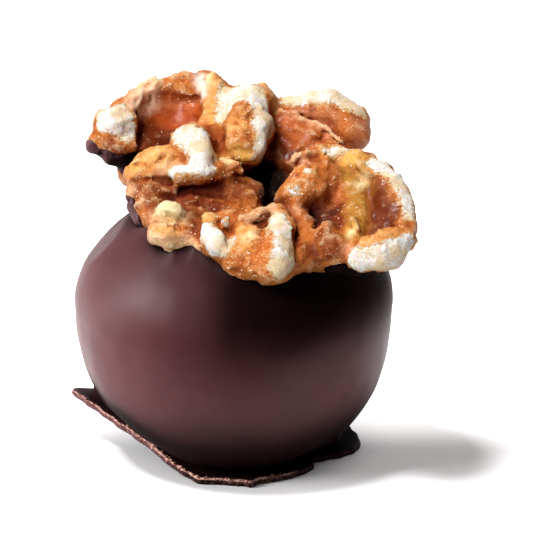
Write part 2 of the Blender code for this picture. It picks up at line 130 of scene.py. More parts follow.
# folds that are too thin for the solid: torn skins, flakes and creased edges
THIN_FOLDS = {
    "pale_flake": (((-10.2, 11.7, 0.9), 0.6), ((-9.4, 12.1, 1.3), 0.45), ((-8.9, 12.3, 1.9), 0.25)),
    "torn_top": (((-7.9, 12.6, 1.0), 0.4), ((-6.9, 12.8, 1.2), 0.45), ((-6.0, 12.8, 1.2), 0.45), ((-5.1, 12.8, 1.0), 0.35)),
    "cup_lip": (((-11.6, 9.9, 0.9), 0.4), ((-10.3, 10.5, 0.9), 0.5), ((-9.2, 11.2, 1.0), 0.45), ((-8.4, 12.1, 1.2), 0.35)),
    "cup_lip_low": (((-10.9, 8.8, 0.1), 0.5), ((-10.0, 9.6, 0.3), 0.6), ((-8.8, 10.6, 0.5), 0.45)),
    "spike": (((-3.9, 12.4, 1.2), 0.4), ((-3.6, 12.6, 1.9), 0.2)),
    "facet": (((-4.8, 12.3, 0.7), 0.6), ((-4.5, 11.2, 0.7), 0.6), ((-4.3, 10.2, 0.6), 0.5)),
    "left_edge": (((-7.0, 0.0, 0.3), 0.5), ((-5.4, 0.0, 0.5), 0.55), ((-3.8, 0.3, 0.5), 0.5), ((-2.4, 1.1, 0.2), 0.4)),
    "sheet_edge": (((2.6, 9.2, 0.3), 0.3), ((4.2, 8.5, 0.3), 0.35), ((6.2, 7.3, 0.2), 0.35), ((8.6, 5.4, -0.2), 0.3)),
    "sheet_edge_low": (((4.6, 6.9, 0.0), 0.3), ((6.6, 5.7, -0.2), 0.3)),
    "saddle_skin": (((7.0, 2.4, 1.2), 0.35), ((7.3, 0.9, 1.4), 0.35), ((7.0, -0.3, 1.5), 0.35)),
    "knob_crease": (((4.2, 0.9, 1.2), 0.4), ((5.3, 1.6, 1.2), 0.4), ((6.6, 1.9, 1.2), 0.35)),
    "rim_leaf": (((9.4, 1.6, 1.0), 0.4), ((10.4, 0.6, 1.0), 0.5), ((11.2, -0.6, 0.8), 0.4)),
    "flake": (((-1.9, -6.9, 0.5), 0.4), ((-1.7, -6.8, 1.1), 0.2)),
    "low_sheet": (((-3.0, 2.2, -0.2), 0.5), ((-1.3, 1.4, 0.0), 0.5), ((-0.5, 1.2, -0.6), 0.5)),
    "peach_fold": (((-0.4, -6.2, 0.3), 0.35), ((0.9, -5.5, 0.2), 0.35), ((2.2, -4.8, 0.2), 0.35)),
    "slope_streak": (((9.3, -5.9, 0.5), 0.3), ((9.6, -7.4, 0.5), 0.3)),
}

# cuts and creases: runs that are pressed into the skin
CREASES = {
    "cup_bowl": (((-8.1, 8.4, 0.8), 2.5), ((-7.1, 9.0, 0.8), 2.5)),
    "across_lobe": (((-10.6, 1.2, 0.4), 0.3), ((-9.4, 0.9, 0.7), 0.4), ((-7.9, 1.4, 1.0), 0.3)),
    "under_left_folds": (((-11.0, 0.0, -0.6), 0.3), ((-9.4, -0.1, -0.3), 0.35), ((-7.6, -0.3, -0.5), 0.4), ((-5.0, -0.7, -1.0), 0.4),
                         ((-2.6, 0.1, -1.2), 0.4)),
    "knob_to_cup": (((-11.0, 8.8, 0.2), 0.4), ((-10.5, 7.4, -0.8), 0.5), ((-10.5, 5.9, -1.2), 0.5)),
    "tall_to_rubbed": (((-3.4, 5.8, 0.6), 0.4), ((-2.6, 4.0, 0.5), 0.45), ((-2.9, 2.6, 0.4), 0.4)),
    "tall_face": (((-1.7, 5.4, 3.0), 0.7), ((-0.6, 4.6, 3.0), 0.8)),
    "right_of_ridge": (((4.2, -5.6, 0.6), 0.35), ((4.4, -7.8, 0.4), 0.35), ((4.4, -9.8, 0.0), 0.35)),
    "right_of_knob_2": (((-1.7, -7.6, 0.4), 0.4), ((-1.5, -9.4, 0.2), 0.4)),
    "left_of_knob_2": (((-4.6, -6.4, -0.2), 0.4), ((-4.6, -8.0, -0.3), 0.4)),
    "in_front_of_knob_1": (((-9.2, -5.6, 0.1), 0.35), ((-7.2, -5.9, 0.6), 0.35), ((-6.2, -5.9, 0.2), 0.4)),
    "under_bulge": (((8.9, -8.3, 0.5), 0.4), ((10.4, -7.9, 0.7), 0.4), ((12.4, -7.3, 0.8), 0.4)),
    "across_finger": (((2.6, 11.2, 0.6), 0.4), ((3.0, 9.6, 0.4), 0.4)),
    "between_slopes": (((11.0, -1.8, 0.6), 0.3), ((11.1, -4.6, 0.4), 0.4)),
}

# stretches where the skin stayed whole and smooth
SMOOTH_SKIN = {
    "cup": (((-9.4, 8.2, -1.8), 2.8), ((-6.1, 9.0, -1.6), 2.6)),
    "finger_end": (((8.6, 8.0, 0.4), 1.6), ((10.4, 6.6, -0.6), 2.4)),
    "sheet": (((2.4, 7.8, -0.2), 1.2), ((5.4, 6.4, -0.3), 1.2)),
    "hollow": (((12.2, -2.4, -0.1), 1.7), ((12.4, -5.0, -0.1), 1.7)),
    "slope": (((9.6, -1.0, 0.3), 1.5), ((9.6, -5.0, 0.3), 1.5), ((9.4, -7.4, 0.3), 1.2)),
}

# where the meal shows white because the skin is rubbed off, as runs of (u, v, n) and radius
RUBBED = (
    (((-13.6, 6.7, 1.2), 1.1), ((-12.8, 7.6, 1.6), 1.4), ((-12.0, 6.5, 1.0), 1.2), ((-11.6, 5.9, 0.2), 0.8)),
    (((-2.6, 7.0, 1.6), 0.9), ((-2.1, 9.0, 1.7), 1.3), ((-1.6, 10.3, 1.8), 1.4), ((-0.4, 9.0, 2.4), 1.6), ((0.9, 7.4, 2.8), 1.2), ((1.7, 5.4, 2.1), 1.2),
     ((1.7, 4.0, 1.0), 1.0), ((0.9, 2.6, 0.4), 0.7)),
    (((3.8, 10.5, 0.6), 0.9), ((5.2, 10.4, 1.3), 1.2), ((7.1, 10.2, 1.6), 1.3), ((9.0, 9.6, 1.2), 1.2), ((10.2, 8.6, 0.8), 0.7)),
    (((-6.4, 3.9, 1.9), 1.0), ((-5.0, 3.3, 2.1), 1.4), ((-4.4, 1.6, 1.8), 1.3), ((-4.8, 0.5, 1.2), 1.0)),
    (((-7.0, 0.1, 0.6), 0.5), ((-5.4, 0.0, 0.9), 0.6), ((-3.9, 0.2, 0.8), 0.6)),
    (((-3.7, -8.2, 0.6), 0.9), ((-2.8, -9.4, 0.3), 1.1), ((-1.9, -9.0, 0.3), 0.8)),
    (((-1.8, -6.7, 0.8), 0.4),),
    (((2.6, -6.2, 0.9), 0.8), ((3.0, -8.3, 1.3), 1.1), ((3.2, -9.8, 1.0), 0.7), ((2.9, -11.9, 0.1), 1.2)),
    (((11.9, 0.2, 1.5), 0.9), ((13.1, -1.1, 1.6), 0.9), ((14.1, -2.8, 1.4), 0.8), ((14.4, -4.6, 1.2), 0.7), ((14.6, -6.0, 0.9), 0.7)),
    (((9.8, -11.0, 0.0), 1.1), ((11.3, -11.6, 0.5), 1.4), ((13.1, -11.3, 0.5), 1.5), ((14.2, -9.9, 0.7), 1.0)),
    (((7.2, 2.3, 1.4), 0.4), ((8.9, 2.4, 1.2), 0.4)),
    (((5.4, -1.5, 1.9), 0.4),),
    (((4.3, -3.4, 1.3), 0.4),),
)

# the colours of the skin: (base colour, gloss, runs), each laid over the ones before it
SKIN_TONES = (
    # orange, over the tops
    ("c87230", 0.15, (
        (((4.2, -1.2, 1.4), 1.5), ((5.4, -2.2, 1.5), 1.5), ((4.2, -3.2, 1.1), 1.1)),
        (((3.8, 8.6, 0.5), 0.8), ((5.7, 8.4, 0.6), 0.9), ((7.6, 7.6, 0.5), 0.9)),
        (((0.0, -8.0, 0.5), 1.3), ((0.8, -10.6, 0.3), 1.3)),
        (((-7.4, 12.4, 1.2), 1.0), ((-5.6, 12.4, 1.2), 1.0)),
        (((-8.3, -7.9, -1.0), 0.8), ((-6.9, -8.0, -1.2), 0.8), ((-5.4, -7.8, -1.3), 0.8)))),
    # clear dark orange, in the cup, the sheet and the hollow
    ("b04f1a", 0.7, (
        (((-9.4, 9.4, -1.0), 1.5), ((-7.8, 9.9, -1.2), 2.2), ((-6.2, 9.2, -1.0), 1.9), ((-7.8, 7.4, -2.4), 2.2)),
        (((2.4, 7.2, -0.3), 1.3), ((4.3, 6.4, -0.5), 1.3), ((6.2, 5.5, -0.7), 1.2)),
        (((-9.3, -3.0, -0.7), 0.9), ((-8.7, -5.0, -0.2), 0.6)))),
    # chestnut: a darker brown laid as painted shade in the hollow, down the valleys and on the sides of the knobs
    ("883d0d", 0.3, (
        (((12.4, -4.6, 0.3), 0.9), ((12.0, -6.6, 0.1), 1.2)),
        (((7.9, -3.6, -0.2), 1.0), ((8.0, -5.8, 0.0), 0.9)),
        (((6.9, -8.4, 0.3), 1.1), ((7.6, -9.6, -0.2), 0.9)),
        (((4.6, -8.8, -0.2), 0.9), ((5.9, -9.7, -0.6), 1.0)),
        (((6.7, -2.6, 0.1), 0.9), ((7.4, -1.2, 0.5), 0.7)),
        (((-5.2, -4.4, -0.5), 1.1), ((-4.6, -6.6, -0.3), 0.8)),
        (((3.2, -3.4, -0.2), 0.9), ((2.0, -5.0, -0.6), 0.8)),
        (((-10.2, 7.4, -1.0), 0.6), ((-10.2, 8.8, -0.5), 0.5)),
        (((-12.8, 4.6, -1.2), 1.3),))),
    # umber: painted shade down in the basins
    ("7c3210", 0.2, (
        (((-7.6, -0.9, -1.2), 0.8), ((-5.4, -0.9, -1.4), 1.1), ((-3.1, 0.0, -1.9), 1.2)),
        (((-6.4, -2.4, -1.2), 1.1), ((-3.4, -2.4, -1.5), 1.2)),
        (((5.8, -4.2, -1.0), 1.5), ((7.0, -5.2, -0.4), 1.4)),
        (((5.2, 5.0, -1.8), 1.2),))),
    # brown-red: painted shade low in the cup and on the sheltered slopes
    ("6c2a08", 0.7, (
        (((11.6, -1.8, 0.4), 1.2), ((12.4, -3.4, 0.4), 1.4), ((12.6, -5.0, 0.3), 1.3)),
        (((-9.4, 7.4, -2.0), 1.6), ((-8.0, 7.0, -2.6), 2.0), ((-6.2, 7.4, -2.2), 1.6), ((-9.6, 5.6, -2.6), 1.4)),
        (((12.6, -5.4, 0.3), 1.4), ((11.6, -7.0, 0.1), 1.1)),
        (((5.6, 5.8, -0.9), 1.2), ((3.2, 5.6, -1.6), 1.2)))),
    # nearly black: painted shade at the bottom of the pit
    ("1c120a", 0.1, (
        (((1.2, 4.9, -4.6), 2.3), ((2.1, 2.5, -4.0), 2.0), ((1.6, 0.8, -3.0), 1.3), ((2.0, -0.8, -2.4), 0.9)),)),
    # dull brown: painted shade on the lump down in the basin
    ("96501c", 0.2, (
        (((-1.3, -1.0, -1.0), 0.9), ((0.2, -1.4, -1.1), 0.9)),)),
    # rust: painted shade under the left folds and by the pit
    ("8a4418", 0.3, (
        (((-10.6, -0.6, -0.7), 0.9), ((-9.0, -0.9, -0.6), 0.9), ((-7.9, -1.1, -0.8), 0.7)),
        (((-1.2, 0.2, -1.6), 1.0), ((0.2, 0.6, -1.4), 0.9)),
        (((-10.4, -2.2, -0.9), 0.6), ((-9.4, -4.2, -0.4), 0.6)),
        (((7.0, -2.0, 0.3), 0.8),),
        (((-9.2, -2.4, -0.8), 1.0), ((-8.9, -4.0, -0.4), 0.8)),
        (((-5.4, -4.0, -0.6), 1.1), ((-4.9, -5.8, -0.4), 0.9)))),
    # peat: painted shade where the front valley is deepest
    ("5a240c", 0.3, (
        (((5.6, -4.4, -1.0), 0.9), ((6.8, -4.6, -0.7), 1.0), ((7.6, -4.2, -0.5), 0.7)),)),
    # amber, grainy
    ("eaa65c", 0.1, (
        (((-9.6, -5.4, -0.4), 0.8),),
        (((-3.6, 11.8, 1.5), 1.0), ((-3.3, 9.3, 1.2), 1.1), ((-3.6, 7.0, 0.9), 0.9)),
        (((-1.8, 4.7, 2.0), 0.8), ((-0.8, 4.9, 2.4), 0.8)),
        (((-10.6, 1.5, 0.1), 1.1), ((-9.2, 2.0, 0.9), 1.2), ((-7.9, 2.0, 1.1), 1.1)),
        (((-3.4, -6.5, 0.7), 0.9),),
        (((-0.6, -7.6, 0.5), 0.7), ((0.2, -9.8, 0.6), 0.8)),
        (((11.1, -9.5, 1.3), 0.7), ((12.5, -9.0, 1.7), 0.6)),
        (((1.2, 11.6, 0.6), 0.8), ((1.8, 10.0, 0.6), 0.7)),
        (((-8.0, -7.3, 0.2), 0.8), ((-6.8, -7.4, -0.1), 0.6)))),
    # honey, where the meat is thin and clear
    ("b0782c", 0.5, (
        (((9.4, 1.0, 0.6), 1.2), ((9.8, -1.8, 0.5), 1.3), ((9.9, -4.0, 0.2), 1.1), ((9.9, -6.4, 0.1), 1.0), ((9.4, -8.0, 0.2), 0.9)),
        (((7.5, 1.9, 1.0), 0.9), ((8.9, 1.8, 1.0), 1.0), ((10.2, 0.4, 1.2), 0.8), ((11.0, -0.8, 1.1), 0.6)),
)),
    # bright honey on the rim's top
    ("eab45c", 0.4, (
        (((-2.4, 2.7, 0.3), 0.8), ((-1.0, 2.4, 0.7), 0.9), ((0.1, 2.0, 0.4), 0.8)),
        (((7.5, 2.0, 1.0), 0.8), ((8.9, 1.9, 1.0), 1.0), ((10.0, 0.9, 1.1), 0.7)),
        (((9.4, -7.6, 0.2), 0.7),))),
    # straw, pale yellow
    ("f4e0ac", 0.3, (
        (((-7.8, -4.6, 0.9), 1.6), ((-6.9, -5.3, 0.8), 1.4)),
        (((0.3, -8.8, 0.9), 0.6),),
        (((-3.8, 12.2, 1.5), 0.5),),
        (((-9.9, 11.9, 1.0), 0.9), ((-9.2, 12.2, 1.5), 0.6)),
        # painted highlights: the next two runs are a glint streak low on the right slope and a glossy spot near the
        # hollow
        (((9.3, -7.8, 0.3), 0.4),),
        (((10.5, -1.3, 0.5), 0.5),),
        (((-2.8, 2.2, 0.2), 0.35), ((-1.4, 1.5, 0.3), 0.35)))),
    # peach, along torn edges
    ("ecb488", 0.15, (
        (((-9.2, 11.2, 1.1), 0.9), ((-10.8, 9.9, 1.0), 1.0), ((-11.4, 9.0, 0.9), 0.7)),
        (((-7.8, 0.4, 0.4), 0.8), ((-6.4, 0.6, 0.6), 0.8)),
        (((-11.2, 0.0, -0.9), 0.4), ((-10.7, -1.6, -0.8), 0.4), ((-9.8, -4.2, -0.5), 0.4), ((-9.1, -6.8, -0.2), 0.5)),
        (((-8.4, -7.9, -1.0), 0.8), ((-6.9, -8.0, -1.3), 0.8), ((-5.2, -7.8, -1.4), 0.7)),
        (((-0.3, -6.3, 0.5), 0.4), ((1.2, -5.6, 0.4), 0.4), ((2.2, -5.1, 0.5), 0.35)),
        (((2.6, 9.2, 0.5), 0.3), ((4.2, 8.5, 0.5), 0.35), ((6.2, 7.3, 0.4), 0.35), ((8.6, 5.4, 0.0), 0.3)),
        (((4.4, -4.8, 0.1), 0.5),))),
    # rose, glossy
    ("e8a882", 0.6, (
        (((4.5, 0.9, 1.5), 0.6), ((5.3, 1.0, 1.4), 0.6)),
        (((8.9, -9.4, -0.4), 0.6),))),
    # brick, at the finger's end and along the front of the finger
    ("b4673f", 0.5, (
        (((10.6, 7.6, 0.6), 1.1), ((11.2, 6.8, -0.3), 1.4), ((10.6, 5.8, -0.6), 1.1)),
        (((4.2, 8.9, 0.5), 0.9), ((6.0, 8.7, 0.6), 1.0), ((8.0, 8.0, 0.5), 1.0)))),
    # pale peach: painted light on the thin lower lip, as if light came through it
    ("ffcf9c", 0.2, (
        (((-8.8, -8.0, -1.5), 1.2), ((-6.9, -8.2, -1.8), 1.2), ((-5.2, -8.0, -1.8), 1.0)),)),
    # russet, on the slope behind the right knob
    ("d47c42", 0.3, (
        (((7.5, -2.1, 0.0), 0.9),),)),
    # ember, on the sheet that spans the cleft
    ("b45c26", 0.5, (
        (((2.4, 7.2, -0.3), 1.1), ((4.3, 6.4, -0.5), 1.1), ((6.0, 5.6, -0.7), 1.0)),)),
    # copper: painted light where the cup's back wall catches the light
    ("cf7440", 0.6, (
        (((-9.2, 11.2, -0.5), 0.9), ((-7.4, 11.8, -0.4), 0.9), ((-6.0, 11.6, -0.5), 0.8)),)),
    # pink, on the fold along the cup's left edge
    ("f4c6a8", 0.5, (
        (((-10.9, 9.0, 0.2), 0.9), ((-10.2, 9.8, 0.0), 1.2), ((-9.5, 10.8, 0.0), 1.1)),)),
    # painted highlight: a pale glint on the facet beside the cup
    ("f3ded4", 0.6, (
        (((-4.8, 12.2, 1.2), 0.55), ((-4.6, 10.6, 0.9), 0.55)),)),
)
SKIN_BASE = "bf6c2c"
PIT_RUN = (((1.2, 4.9, -4.6), 2.6), ((2.1, 2.5, -4.0), 2.4), ((1.8, 0.8, -3.0), 1.8), ((2.0, -0.8, -2.4), 1.2))
TONE_EDGE = 1.3             # width over which one colour fades into the next


def grid_lines():
    return [np.arange(low, high, GRID_STEP) for low, high in zip(GRID_LOW, GRID_HIGH)]


def lumps(size, seed):
    """Smooth random values over the grid, from -1 to 1, in lumps of this size."""
    random = np.random.default_rng(seed)
    lines = grid_lines()
    values = random.uniform(-1, 1, [int(np.ceil((line[-1] - line[0]) / size)) + 3 for line in lines])
    for axis, line in enumerate(lines):
        place = (line - line[0]) / size
        cell = place.astype(int)
        share = place - cell
        share = (share * share * (3 - 2 * share)).reshape([-1 if a == axis else 1 for a in range(3)])
        low, high = np.take(values, cell, axis), np.take(values, cell + 1, axis)
        values = low + (high - low) * share
    return values.astype(np.float32)


def run_distance(points, knots):
    """Distance of each point from the skin of a run of knots."""
    nearest = None
    for (first, first_radius), (second, second_radius) in zip(knots, knots[1:] or knots):
        first, way = np.array(first, np.float32), np.array(second, np.float32) - np.array(first, np.float32)
        share = np.clip((points - first) @ way / max(float(way @ way), 1e-6), 0, 1)
        gap = np.linalg.norm(points - first - share[..., None] * way, axis=-1)
        gap -= first_radius + share * (second_radius - first_radius)
        nearest = gap if nearest is None else blended(nearest, gap, 0.3)
    return nearest


def blended(one, other, width):
    """The lesser of two distances, with the corner between them rounded over this width."""
    share = np.clip(0.5 + 0.5 * (other - one) / width, 0, 1)
    return other + (one - other) * share - width * share * (1 - share)


def lay_run(field, places, knots, margin, change):
    """Applies change(field, distance) in the part of the grid that this run reaches."""
    ends = np.array([place for place, radius in knots])
    reach = max(radius for place, radius in knots) + margin
    low = np.clip(((ends.min(0) - reach - GRID_LOW) / GRID_STEP).astype(int), 0, None)
    high = ((ends.max(0) + reach - GRID_LOW) / GRID_STEP).astype(int) + 2
    part = tuple(slice(a, b) for a, b in zip(low, high))
    field[part] = change(field[part], run_distance(places[part], knots))


def kernel_field():
    """Distance from the kernel's skin over the grid, below zero inside it."""
    places = np.stack(np.meshgrid(*grid_lines(), indexing="ij"), -1).astype(np.float32)
    for axis in range(3):
        # the folds wander a little, so that none is an even roll
        places[..., axis] += 0.34 * lumps(2.7, 11 + axis) + 0.14 * lumps(1.2, 21 + axis)
    field = np.full(places.shape[:3], 3.0, np.float32)
    for knots in FOLDS.values():
        lay_run(field, places, knots, 1.2, lambda old, new: blended(old, new, FOLD_BLEND))
    for knots in THIN_FOLDS.values():
        lay_run(field, places, knots, 0.8, lambda old, new: blended(old, new, 0.25))
    for knots in CREASES.values():
        lay_run(field, places, knots, 0.8, lambda old, new: -blended(-old, new, 0.3))
    smooth, meal = np.full((2, *field.shape), 3.0, np.float32)
    for knots in SMOOTH_SKIN.values():
        lay_run(smooth, places, knots, 1.5, np.minimum)
    for knots in RUBBED:
        lay_run(meal, places, knots, 1.0, np.minimum)
    crumple = 0.15 + 0.85 * np.clip(0.5 + smooth, 0, 1)
    crumple *= 1 - 0.5 * np.clip(-2.2 - grid_lines()[2], 0, 1)
    torn = np.clip(1 - 3.2 * np.abs(lumps(1.3, 31) + 0.5 * lumps(0.6, 32)), 0, 1)
    cracks = np.clip(1 - 4 * np.abs(lumps(1.7, 38) + 0.5 * lumps(0.7, 39)), 0, 1)
    bare = np.clip(0.5 - meal / 0.5, 0, 1)
    field -= crumple * (0.22 * lumps(2.3, 35) + 0.1 * lumps(1.1, 33) + 0.05 * lumps(0.4, 34) - 0.06)
    field -= crumple * (1 - 0.6 * bare) * (0.17 * torn - 0.09 * cracks)
    field -= bare * (0.04 + 0.07 * lumps(0.8, 36) + 0.05 * lumps(0.4, 37))
    return field


def at_points(grid, points):
    """Values of a grid at these points, between its nodes too."""
    place = np.clip((points - GRID_LOW) / GRID_STEP, 0, np.array(grid.shape) - 1.001)
    cell = place.astype(int)
    share = place - cell
    total = np.zeros(len(points))
    for corner in np.ndindex(2, 2, 2):
        weight = np.prod(np.where(corner, share, 1 - share), axis=1)
        total += weight * grid[tuple((cell + corner).T)]
    return total


def skin_of(field):
    """Points and four-sided faces of the field's zero level, one point in each grid cell that it crosses."""
    inside = field < 0
    cells = np.array(field.shape) - 1
    total, count = np.zeros((*cells, 3), np.float32), np.zeros(cells, np.float32)
    for axis in range(3):
        for start in np.ndindex(2, 2):
            near = np.insert(start, axis, 0)
            far = np.insert(start, axis, 1)
            part, next_part = (tuple(slice(c, c + n) for c, n in zip(corner, cells)) for corner in (near, far))
            crossed = inside[part] != inside[next_part]
            one, other = field[part][crossed], field[next_part][crossed]
            place = np.tile(near.astype(np.float32), (len(one), 1))
            place[:, axis] += one / (one - other)
            total[crossed] += place
            count[crossed] += 1
    live = count > 0
    index = np.full(cells, -1)
    index[live] = np.arange(live.sum())
    points = GRID_LOW + GRID_STEP * (np.argwhere(live) + total[live] / count[live][:, None])
    faces = []
    for axis in range(3):
        across = [a for a in range(3) if a != axis]
        one = tuple(slice(0, -1) if a == axis else slice(1, -1) for a in range(3))
        other = tuple(slice(1, None) if a == axis else slice(1, -1) for a in range(3))
        crossed = inside[one] != inside[other]
        base = np.argwhere(crossed) + np.where(np.arange(3) == axis, 0, 1)
        corners = []
        for step in ((-1, -1), (0, -1), (0, 0), (-1, 0)):
            cell = base.copy()
            cell[:, across[0]] += step[0]
            cell[:, across[1]] += step[1]
            corners.append(index[tuple(cell.T)])
        ring = np.stack(corners, 1)
        outward = inside[one][crossed] if axis != 1 else ~inside[one][crossed]
        ring[~outward] = ring[~outward][:, ::-1]
        faces.append(ring)
    return points, np.concatenate(faces)


def largest_part(points, faces):
    """Only the skin that hangs together with the most points, without loose bits and closed bubbles."""
    label = np.arange(len(points))
    while True:
        lower = label.copy()
        np.minimum.at(lower, faces.ravel(), np.repeat(label[faces].min(1), 4))
        lower = lower[lower]
        if (lower == label).all():
            break
        label = lower
    keep = label == np.bincount(label).argmax()
    number = np.cumsum(keep) - 1
    return points[keep], number[faces[keep[faces[:, 0]]]]


def in_world(points):
    """Points of the walnut's own frame in the object's, in millimetres."""
    return NUT_CENTRE + points @ NUT_AXES


def mesh_piece(name, points, faces):
    """A smooth-shaded object from points in millimetres."""
    mesh = bpy.data.meshes.new(name)
    mesh.from_pydata((np.asarray(points) * MM).tolist(), [], np.asarray(faces).tolist() if hasattr(faces, "shape") else faces)
    mesh.polygons.foreach_set("use_smooth", [True] * len(mesh.polygons))
    piece = bpy.data.objects.new(name, mesh)
    bpy.context.scene.collection.objects.link(piece)
    return piece


def paint(piece, name, values):
    """Stores one value for each point, for the material to read."""
    attribute = piece.data.attributes.new(name, "FLOAT", "POINT")
    attribute.data.foreach_set("value", np.asarray(values, np.float32))


def cover(points, runs, edge):
    """1 in the middle of these runs, 0.5 at their radius, 0 outside."""
    nearest = np.min([run_distance(points, knots) for knots in runs], axis=0)
    return np.clip(0.5 - nearest / edge, 0, 1)


def tone(code):
    """A colour from its sRGB code, in the linear values that the materials use."""
    parts = [int(code[i:i + 2], 16) / 255 for i in (0, 2, 4)]
    return (*(part / 12.92 if part < 0.04045 else ((part + 0.055) / 1.055) ** 2.4 for part in parts), 1)


def thickened(grid, reach):
    """The grid averaged over cubes that reach this far to each side."""
    wide = 2 * max(1, round(reach / GRID_STEP)) + 1
    for axis in range(3):
        sums = np.cumsum(np.insert(grid, 0, 0, axis), axis, dtype=np.float64)
        middle = (np.take(sums, range(wide, sums.shape[axis]), axis) - np.take(sums, range(sums.shape[axis] - wide), axis)) / wide
        ends = [(wide // 2, wide // 2) if a == axis else (0, 0) for a in range(3)]
        grid = np.pad(middle, ends, mode="edge")
    return grid


field = kernel_field()
skin_points, skin_faces = largest_part(*skin_of(field))
kernel = mesh_piece("kernel", in_world(skin_points), skin_faces)
wander = 0.5 * np.stack([at_points(lumps(1.6, 51 + axis) + 0.6 * lumps(0.7, 54 + axis), skin_points) for axis in range(3)], 1)
skin_tone, skin_gloss = np.tile(tone(SKIN_BASE), (len(skin_points), 1)), np.full(len(skin_points), 0.15)
for code, gloss, runs in SKIN_TONES:
    share = cover(skin_points + wander, runs, TONE_EDGE)
    share = share * share * (3 - 2 * share)
    skin_tone += share[:, None] * (np.array(tone(code)) - skin_tone)
    skin_gloss += share * (gloss - skin_gloss)
tone_attribute = kernel.data.attributes.new("skin_tone", "FLOAT_COLOR", "POINT")
tone_attribute.data.foreach_set("color", skin_tone.astype(np.float32).ravel())
paint(kernel, "gloss", skin_gloss)
paint(kernel, "rubbed", cover(skin_points + 0.5 * wander, RUBBED, 1.1))

# the meal dust lies thickest on what faces out of the shell, and not in the pit
normals = np.empty(len(kernel.data.vertices) * 3, np.float32)
kernel.data.vertices.foreach_get("normal", normals)
outward = normals.reshape(-1, 3) @ NUT_AXES[2]
patches = at_points(lumps(2.4, 71) + 0.6 * lumps(1.0, 72), skin_points)
in_pit = cover(skin_points, (PIT_RUN, (((5.6, -4.4, -1.0), 1.0), ((7.4, -4.4, -0.6), 1.0))), 1.5)
grit = np.clip(0.4 + 0.9 * patches, 0, 1) * np.clip(0.6 + 1.5 * outward, 0, 1) * (1 - 0.75 * skin_gloss)
stands_out = at_points(thickened(field, 1.6), skin_points)
grit *= (skin_points[:, 2] > -3.2) * (1 - in_pit) * np.clip(0.45 + stands_out / 0.7, 0.06, 1)
paint(kernel, "grit", grit)


# above zero on tops and edges, below zero in creases
paint(kernel, "crest", np.clip(at_points(thickened(field, 0.7), skin_points) / 0.35, -1, 1))


def add(tree, kind, inputs=(), **settings):
    """A node of this kind with its settings and inputs, each input a value or another node's output."""
    node = tree.nodes.new(kind)
    for name, value in settings.items():
        setattr(node, name, value)
    for name, value in dict(inputs).items():
        if isinstance(value, bpy.types.NodeSocket):
            tree.links.new(value, node.inputs[name])
        else:
            node.inputs[name].default_value = value
    return node


def math_of(tree, operation, *values):
    return add(tree, "ShaderNodeMath", dict(enumerate(values)), operation=operation).outputs[0]


def eased(tree, value, low, high):
    """0 below low and 1 above high."""
    node = add(tree, "ShaderNodeMapRange", {"Value": value, "From Min": low, "From Max": high}, interpolation_type="SMOOTHSTEP")
    return node.outputs["Result"]


def mixed(tree, share, low, high):
    """Two colours mixed by share."""
    node = add(tree, "ShaderNodeMix", {0: share, 6: low, 7: high}, data_type="RGBA")
    return node.outputs[2]


def grain(tree, coordinates, per_metre, detail=2.0, roughness=0.5):
    node = add(tree, "ShaderNodeTexNoise", {"Vector": coordinates, "Scale": per_metre, "Detail": detail, "Roughness": roughness})
    return node.outputs["Fac"]


def painted(tree, name):
    return add(tree, "ShaderNodeAttribute", attribute_name=name).outputs["Fac"]


def open_air_group():
    """How open each place is to the light: 0 in cracks and in gaps between pieces, 1 in the open."""
    group = bpy.data.node_groups.new("open_air", "ShaderNodeTree")
    for name in ("Distance", "Shut", "Open"):
        group.interface.new_socket(name, in_out="INPUT", socket_type="NodeSocketFloat")
    group.interface.new_socket("Openness", in_out="OUTPUT", socket_type="NodeSocketFloat")
    source = group.nodes.new("NodeGroupInput").outputs
    sky = add(group, "ShaderNodeAmbientOcclusion", {"Distance": source["Distance"]}, samples=8).outputs["AO"]
    group.links.new(eased(group, sky, source["Shut"], source["Open"]), group.nodes.new("NodeGroupOutput").inputs[0])
    return group


def openness(tree, distance, shut, opened):
    inputs = {"Distance": distance, "Shut": shut, "Open": opened}
    return add(tree, "ShaderNodeGroup", inputs, node_tree=open_air).outputs["Openness"]


open_air = open_air_group()


